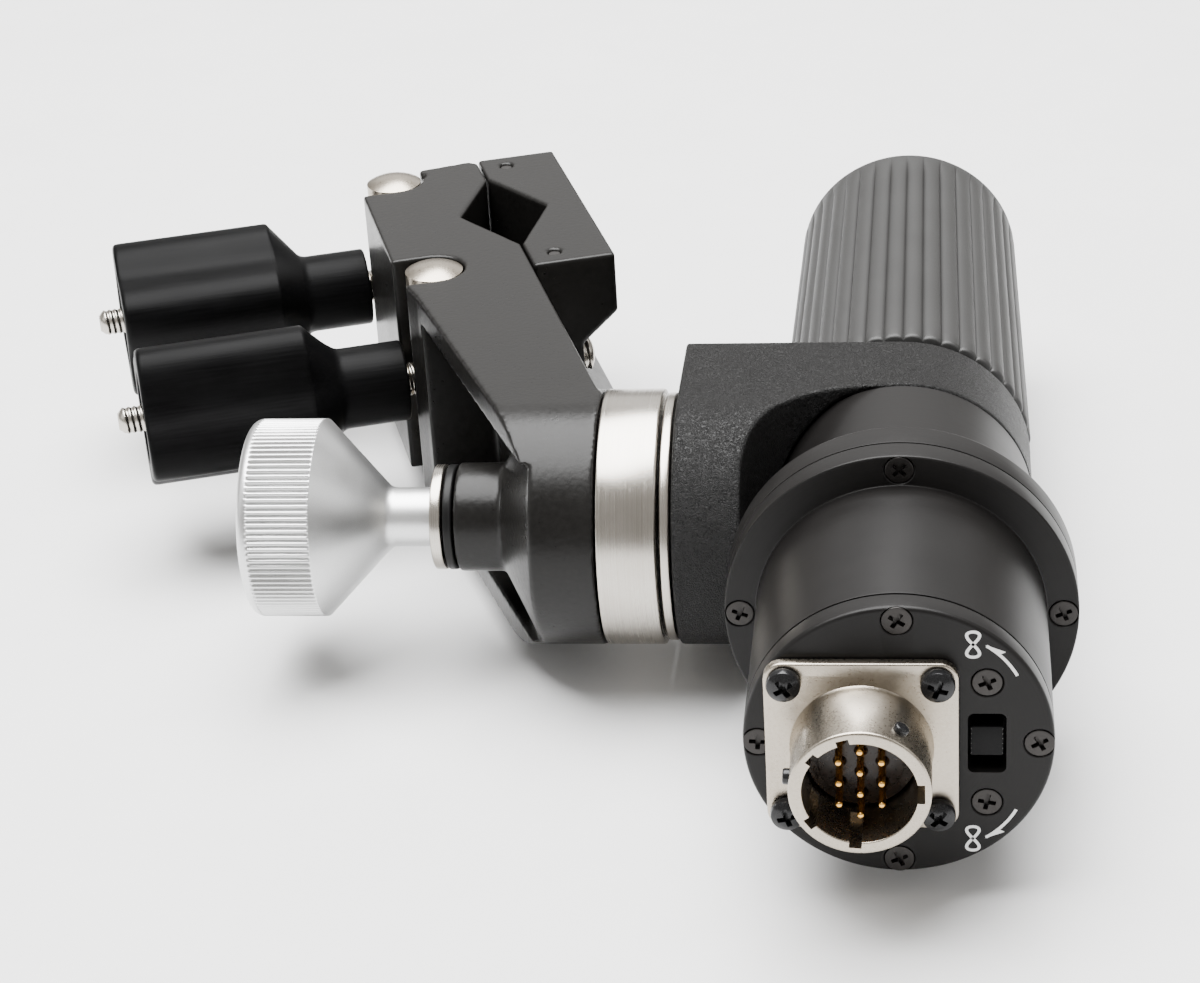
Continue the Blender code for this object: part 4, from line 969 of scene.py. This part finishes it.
@dataclass(frozen=True)
class Bracket:
    """Painted casting between the grip's housing and the swivel."""

    layout: Layout
    face: float = 34.5
    inner: float = 24.0
    half_height: float = 20.0
    hub_radius: float = 20.1
    hub_start: float = 70.8
    hub_end: float = 87.1
    fillet: float = 19.5
    spigot_radius: float = 13.7
    spigot_end: float = 36.3
    voxel: float = 0.36

    def build(self) -> None:
        """Make and dress the casting."""
        layout = self.layout
        front = layout.tilt_ahead - self.half_height - 1
        bend = (self.fillet - self.inner, 70.5 - self.fillet)
        plan = [(-self.face, front), (-self.inner, front), *arc(bend, self.fillet, 180, 90, 32)]
        plan += [(0, 70.5), (0, self.hub_end), (-self.face, self.hub_end)]
        casting = solid("side_bracket_look", [prism(plan, -self.half_height, self.half_height)], layout.plain)
        back = layout.tilt_ahead - self.hub_end - 1
        side = arc((0, 0), self.half_height, -90, 90, 72)
        side += [(back, self.half_height), (back, -self.half_height)]
        combine(casting, "INTERSECT", [prism(side, -1, self.face + 1)], layout.tilt)
        hub = [
            (0, -self.hub_start, 0), (self.hub_radius, -self.hub_start, 0),
            (self.hub_radius, -self.hub_end, 1.2),
            (0, -self.hub_end, 0),
        ]  # fmt: skip
        combine(casting, "UNION", [turned(hub)], layout.grip)
        combine(casting, "UNION", [rod(self.spigot_radius, 30, self.spigot_end, 96)], layout.tilt)
        combine(casting, "DIFFERENCE", [rod(20.3, -self.hub_start, -39.8, 144)], layout.grip)
        pocket = [(0, -89.0), (9.8, -89.0), (9.8, -80.5), (4.6, -80.5), (4.6, -69.5), (0, -69.5)]
        combine(casting, "DIFFERENCE", [revolve(pocket, 96)], layout.grip)
        bolt_room = [(0, 23), (6.3, 23), (6.3, 28.3), (3.3, 28.3), (3.3, 38), (0, 38)]
        combine(casting, "DIFFERENCE", [revolve(bolt_room, 64)], layout.tilt)
        cast(casting, self.voxel, 6)
        dress(casting, CRINKLE, Body.CONTROLLER, "side_bracket")


@dataclass(frozen=True)
class Swivel:
    """Steel rings of the swivel, and the lock knob with its collar and washer."""

    layout: Layout
    ring_bore: float = 14.0
    bracket_ring: Corner = (19.4, 34.8, 36.3)
    arm_ring: Corner = (20.0, 36.8, 45.9)
    bore: float = 3.3
    washer: Corner = (8.3, 69.8, 71.2)
    collar: Corner = (8.28, 71.5, 73.3)
    knob_start: float = 73.6
    stem_end: float = 80.4
    cone_end: float = 90.8
    knob_end: float = 102.4
    knob_radius: float = 15.7
    knob_edge: float = 1.6
    bore_end: float = 97.6
    flutes: int = 100
    flute_depth: float = 0.42

    def build(self) -> None:
        """Make and dress every piece."""
        self.ring("bracket_ring", self.bracket_ring, self.ring_bore, STAINLESS, Body.CONTROLLER)
        self.ring("arm_ring", self.arm_ring, self.ring_bore, STAINLESS, Body.CLAMP)
        self.ring("lock_washer", self.washer, self.bore, WASHER_PLASTIC, Body.LOCK_CARRIER)
        self.ring("lock_collar", self.collar, self.bore, STAINLESS, Body.LOCK_CARRIER)
        self.knob()

    def ring(self, node: str, size: Corner, bore: float, finish: Finish, body: Body) -> None:
        """Turned ring.

        Args:
            node: Frame node that it stands for.
            size: Its radius, its start and its end along the swivel's axis.
            bore: Radius of its bore.
            finish: Its finish.
            body: The body that it rides on.
        """
        radius, low, high = size
        ease = min(0.35, (high - low) / 4)
        corners = [(bore, low, 0), (radius, low, ease), (radius, high, ease), (bore, high, 0)]
        ring = solid(f"{node}_look", [turned(corners, 180, hollow=True)], self.layout.tilt)
        dress(smoothed(ring), finish, body, node)

    def fluted(self, angle: float, radius: float, along: float) -> float:
        """Radius of the lock knob at a place, with straight flutes on its rim."""
        if radius < self.knob_radius - 0.02:
            return radius
        inside = min(along - self.cone_end, self.knob_end - self.knob_edge - along)
        share = max(0.0, min(1.0, inside / 0.35))
        return radius - share * self.flute_depth * (0.5 + 0.5 * math.cos(self.flutes * angle)) ** 1.5

    def knob(self) -> None:
        """Fluted aluminium knob on a cone and a stem."""
        rim_end = self.knob_end - self.knob_edge
        corners = [
            (0, self.bore_end, 0), (self.bore, self.bore_end, 0), (self.bore, self.knob_start, 0.1),
            (4.7, self.knob_start, 0.25), (4.7, self.stem_end, 0.9),
            (self.knob_radius - 0.05, self.cone_end - 0.1, 0),
            (self.knob_radius, self.cone_end, 0), (self.knob_radius, self.cone_end + 0.2, 0),
            (self.knob_radius, self.cone_end + 0.4, 0), (self.knob_radius, rim_end - 0.4, 0),
            (self.knob_radius, rim_end - 0.2, 0), (self.knob_radius, rim_end, 0),
        ]  # fmt: skip
        edge = arc((self.knob_radius - self.knob_edge, rim_end), self.knob_edge, 0, 90, 8)
        dish = self.knob_end - 0.35
        face = [(11.5, self.knob_end), (11.1, dish), (2.0, dish), (0, self.knob_end - 0.9)]
        profile = eased(corners) + edge[1:] + face
        turned_knob = revolve(profile, self.flutes * 8, False, self.fluted)
        knob = solid("lock_knob_look", [turned_knob], self.layout.tilt)
        dress(smoothed(knob, 40), BLASTED, Body.LOCK_KNOB, "lock_knob")


@dataclass(frozen=True)
class Clamp:
    """Arm with the fixed jaw, the moving jaw, the rods, the barrel pins and the knobs."""

    layout: Layout
    right: float = -43.0
    left: float = -65.8
    jaw_centre: float = 96.9
    jaw_half: float = 26.1
    v_half: float = 15.8
    v_depth: float = 7.6
    half_height: float = 20.0
    jaw_inner: float = -42.7
    jaw_outer: float = -28.5
    waist: float = -34.9
    waist_half: float = 3.9
    waist_top: float = 9.3
    slot_radius: float = 5.3
    barrel_pin_at: float = -59.3
    jaw_pin_at: float = -38.2
    knob_turns: Flat = (24.0, 74.0)
    lobe_middle: float = 12.3
    lobe_swing: float = 1.7
    voxel: float = 0.34

    def build(self) -> None:
        """Make and dress every piece."""
        self.arm()
        self.moving_jaw()
        for index in (0, 1):
            self.clamp_rod(index)
            self.barrel_pin(index)
            self.knob(index)

    def arm(self) -> None:
        """Casting with the swivel's disc, its boss, the arm and the fixed jaw."""
        layout = self.layout
        upper, lower = layout.rod_places
        tip, base = self.jaw_centre + self.jaw_half, self.jaw_centre - self.jaw_half
        c, s = math.cos(layout.clamp_angle), math.sin(layout.clamp_angle)
        disc = [(x * c + y * s, y * c - x * s) for x, y in ((-46.2, -21.0), (-46.2, 0.0), (-56.0, -21.0))]
        slot_edge = self.barrel_pin_at + self.slot_radius
        outline = [
            disc[0], disc[1], (self.right, disc[1][1] + 2.5), (self.right, self.jaw_centre - self.v_half),
            (self.right - self.v_depth, self.jaw_centre), (self.right, self.jaw_centre + self.v_half),
            (self.right, tip - 1.4), (self.right - 1.4, tip), (slot_edge, tip - 1.0),
            *arc((self.barrel_pin_at, upper), self.slot_radius, 0, -90, 16),
            (self.left, upper - self.slot_radius), (self.left, lower + self.slot_radius),
            *arc((self.barrel_pin_at, lower), self.slot_radius, 90, -90, 32),
            (self.left + 0.6, lower - self.slot_radius), (-64.2, base - 6.0), (-58.0, 0.0), disc[2],
        ]  # fmt: skip
        arm = solid("clamp_arm_look", [prism(outline, -self.half_height, self.half_height)], layout.clamp)
        reach = -tip - 60
        side = arc((0, 0), 20.0, -90, 90, 72) + [(reach, 20.0), (reach, -20.0)]
        combine(arm, "INTERSECT", [prism(side, 0, 130)], layout.tilt)
        combine(arm, "DIFFERENCE", [block((-70.8, -40.0, -15.5), (-52.5, base - 8.0, 15.5))])
        boss = [
            (0, 36.9, 0), (13.7, 36.9, 0), (13.7, 46.2, 0), (20.0, 46.2, 0.3), (20.0, 56.0, 0.5),
            (9.56, 61.5, 0.8),
            (8.56, 62.1, 0.5), (8.56, 69.5, 0.4), (0, 69.5, 0),
        ]  # fmt: skip
        combine(arm, "UNION", [turned(boss)], layout.tilt)
        combine(arm, "DIFFERENCE", [rod(3.6, 35.0, 71.0)], layout.tilt)
        for index in (0, 1):
            combine(arm, "DIFFERENCE", [rod(3.3, 42.0, 59.3, 48)], layout.clamp_rod(index))
        combine(arm, "DIFFERENCE", [moved(rod(0.8, self.half_height - 0.8, 22, 24), -54.0, 119.0)])
        cast(arm, self.voxel, 5)
        dress(arm, CLAMP_PAINT, Body.CLAMP, "clamp_arm")

    def moving_jaw(self) -> None:
        """Casting with the second V and a waist that shows the ends of the rods."""
        tip, base = self.jaw_centre + self.jaw_half, self.jaw_centre - self.jaw_half
        section = [
            (self.jaw_inner, -self.half_height), (self.jaw_outer, -self.half_height),
            (self.jaw_outer, -self.waist_top),
            (self.waist, -self.waist_half), (self.waist, self.waist_half), (self.jaw_outer, self.waist_top),
            (self.jaw_outer, self.half_height), (self.jaw_inner, self.half_height),
        ]  # fmt: skip
        jaw = solid("moving_jaw_look", [prism(section, base, tip)], self.layout.jaw)
        groove = [
            (self.jaw_inner - 1, self.jaw_centre - self.v_half - 1),
            (self.jaw_inner, self.jaw_centre - self.v_half),
            (self.jaw_inner + self.v_depth, self.jaw_centre), (self.jaw_inner, self.jaw_centre + self.v_half),
            (self.jaw_inner - 1, self.jaw_centre + self.v_half + 1),
        ]  # fmt: skip
        high = self.half_height + 1
        combine(jaw, "DIFFERENCE", [prism(groove, -high, high)], self.layout.clamp)
        pins = [moved(rod(1.15, -4.6, high, 32), self.jaw_pin_at, v) for v in self.layout.rod_places]
        combine(jaw, "DIFFERENCE", pins, self.layout.clamp)
        for index in (0, 1):
            combine(jaw, "DIFFERENCE", [rod(3.3, 27.0, 44.0, 48)], self.layout.clamp_rod(index))
        cast(jaw, self.voxel, 5)
        dress(jaw, CLAMP_PAINT, Body.JAW, "moving_jaw")

    def clamp_rod(self, index: int) -> None:
        """Threaded rod, from the waist of the moving jaw to past its knob."""
        right, left, pitch, depth = 32.5, 115.8, 1.0, 0.28

        def thread(angle: float, radius: float, along: float) -> float:
            """Radius of the helical thread."""
            share = (along / pitch - angle / (2 * math.pi)) % 1.0
            return radius - depth * abs(2 * share - 1) if radius > 1.5 else radius

        rows = int((left - right - 1.2) / (pitch / 6))
        body = [(2.95 if row < 0.92 * rows else 2.35, right + 0.6 + row * pitch / 6) for row in range(rows)]
        profile = [(0, right), (1.4, right), (2.4, right + 0.3), *body, (1.4, left), (0, left)]
        threaded = revolve(profile, 32, False, thread)
        screw = solid(f"clamp_rod_{index + 1}_look", [threaded], self.layout.clamp_rod(index))
        dress(smoothed(screw, 50), STAINLESS, Body.JAW, f"clamp_rod_{index + 1}")

    def barrel_pin(self, index: int) -> None:
        """Domed pin that the rod passes through."""
        dome = arc((0, 19.6 - 8.2), 9.6, 90, 59, 8)
        profile = [(0, -19.5), (4.7, -19.5), (5.0, -19.2), *reversed(dome[1:]), (0, 21.0)]
        at = Matrix.Translation(Vector((self.barrel_pin_at, self.layout.rod_places[index], 0)) * MM)
        pin = solid(f"barrel_pin_{index + 1}_look", [revolve(profile, 96)], self.layout.clamp @ at)
        combine(pin, "DIFFERENCE", [rod(3.3, self.right, 75.0, 48)], self.layout.clamp_rod(index))
        dress(smoothed(pin), NICKEL, Body.CLAMP, f"barrel_pin_{index + 1}")

    def knob(self, index: int) -> None:
        """Lobed plastic knob with a round neck."""
        neck, cone, shoulder, end = 66.1, 77.6, 83.1, 111.6
        turn = math.radians(self.knob_turns[index])

        def lobed(angle: float, radius: float, along: float) -> float:
            """Radius of the knob, with lobes that fade in over the cone."""
            if radius <= 7.2:
                return radius
            fade = max(0.0, min(1.0, (along - cone) / (shoulder - cone)))
            share = fade * (radius - 7.2) / (self.lobe_middle - 7.2)
            return radius + share * self.lobe_swing * math.cos(4 * (angle - turn))

        corners = [
            (3.3, neck, 0.2), (7.0, neck, 0.5), (7.0, cone, 1.0), (self.lobe_middle, shoulder, 0.5),
            (self.lobe_middle, end, 1.0), (8.6, end, 0.3), (8.2, end - 0.8, 0.3), (3.3, end - 0.8, 0),
        ]  # fmt: skip
        profile = eased(corners)
        moulded = revolve(profile, 192, True, lobed)
        knob = solid(f"clamp_knob_{index + 1}_look", [moulded], self.layout.clamp_rod(index))
        body = (Body.KNOB_1, Body.KNOB_2)[index]
        dress(smoothed(knob, 40), KNOB_PLASTIC, body, f"clamp_knob_{index + 1}")


@dataclass(frozen=True)
class Inside:
    """Frame nodes that keep their own shape, with the finish of each."""

    finishes: tuple[tuple[Finish, tuple[str, ...]], ...] = (
        (BOARD, ("circuit_board",)),
        (KNOB_PLASTIC, ("encoder_body", "switch_body")),
        (BLASTED, ("encoder_plate", "grip_core")),
        (BRASS, ("encoder_pinion", "drive_gear")),
        (STAINLESS, ("drive_shaft", "rear_bearing", "front_bearing", "shaft_nut")),
        (FLAT_SCREW, ("pivot_bolt", "jaw_pin_1", "jaw_pin_2")),
    )

    def build(self) -> None:
        """Give each node its material."""
        for finish, names in self.finishes:
            for name in names:
                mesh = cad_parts[name].data
                mesh.materials.clear()
                mesh.materials.append(finish.material())
                LOG.info("%s: frame node, %s", name, finish.slot)


@dataclass(frozen=True)
class Studio:
    """Pale floor, soft lights and the camera."""

    layout: Layout
    floor_size: float = 6.0
    camera_place: Corner = (6.328, -342.348, 218.221)
    yaw: float = math.radians(7.467)
    pitch: float = math.radians(27.467)
    roll: float = math.radians(-3.695)
    lens: float = 88.88
    sensor: float = 36.0

    def build(self) -> None:
        """Set up everything round the object."""
        self.floor()
        self.world()
        self.light("softbox_above", (-0.10, 0.12, 1.05), (1.2, 0.9), 62.0)
        self.light("softbox_back", (0.10, 1.70, 0.85), (2.2, 0.8), 6.0)
        self.light("softbox_left", (-0.95, -0.25, 0.55), (0.6, 0.6), 1.6)
        self.light("softbox_right", (0.90, -0.15, 0.60), (0.4, 0.6), 1.5)
        self.camera()

    def floor(self) -> None:
        """Wide pale floor with a faint mottle."""
        half = self.floor_size / 2
        mesh = bpy.data.meshes.new("floor")
        shape = bmesh.new()
        corners = ((-half, -half), (half, -half), (half, half), (-half, half))
        shape.faces.new([shape.verts.new((x, y, 0)) for x, y in corners])
        shape.to_mesh(mesh)
        shape.free()
        floor = bpy.data.objects.new("floor", mesh)
        bpy.context.scene.collection.objects.link(floor)
        material = Finish("floor", (0.80, 0.80, 0.80), (0.83, 0.83, 0.83), Grain.EVEN, 40.0, (0.5, 0.6), 0.01)
        mesh.materials.append(material.material())

    def world(self) -> None:
        """Even white surroundings."""
        world = bpy.data.worlds.new("studio")
        world.use_nodes = True
        background = world.node_tree.nodes["Background"]
        background.inputs["Color"].default_value = (1.0, 0.97, 0.93, 1)
        background.inputs["Strength"].default_value = 0.5
        bpy.context.scene.world = world

    def light(self, name: str, place: Corner, size: Flat, power: float) -> None:
        """Area light that points at the object.

        Args:
            name: Its name.
            place: Where it stands, in metres.
            size: Its width and height, in metres.
            power: Its power, in watts.
        """
        data = bpy.data.lights.new(name, "AREA")
        data.shape = "RECTANGLE"
        data.size, data.size_y = size
        data.energy = power
        lamp = bpy.data.objects.new(name, data)
        bpy.context.scene.collection.objects.link(lamp)
        lamp.location = place
        aim = Vector((0.02, 0.0, 0.03)) - Vector(place)
        lamp.rotation_euler = aim.to_track_quat("-Z", "Y").to_euler()

    def camera(self) -> None:
        """Camera that looks down at the cover from the front."""
        data = bpy.data.cameras.new("camera")
        data.sensor_width = self.sensor
        data.lens = self.lens
        data.clip_start = 0.01
        camera = bpy.data.objects.new("camera", data)
        bpy.context.scene.collection.objects.link(camera)
        level = Matrix.Rotation(self.yaw, 4, "Z") @ Matrix.Rotation(math.pi / 2 - self.pitch, 4, "X")
        turned_level = level @ Matrix.Rotation(self.roll, 4, "Z")
        place = self.layout.origin + Vector(self.camera_place) * MM
        camera.matrix_world = Matrix.Translation(place) @ turned_level
        bpy.context.scene.camera = camera


def main() -> None:
    """Build every sub-assembly in order, then the studio."""
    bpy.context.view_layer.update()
    layout = Layout()
    assemblies = (
        Housing(layout), Connector(layout), DirectionSwitch(layout), Grip(layout), Bracket(layout),
        Swivel(layout),
        Clamp(layout), Inside(), Studio(layout),
    )  # fmt: skip
    for assembly in assemblies:
        LOG.info("building %s", type(assembly).__name__)
        assembly.build()


if __name__ == "__main__":
    logging.basicConfig(level=logging.INFO, format="%(message)s")
    main()
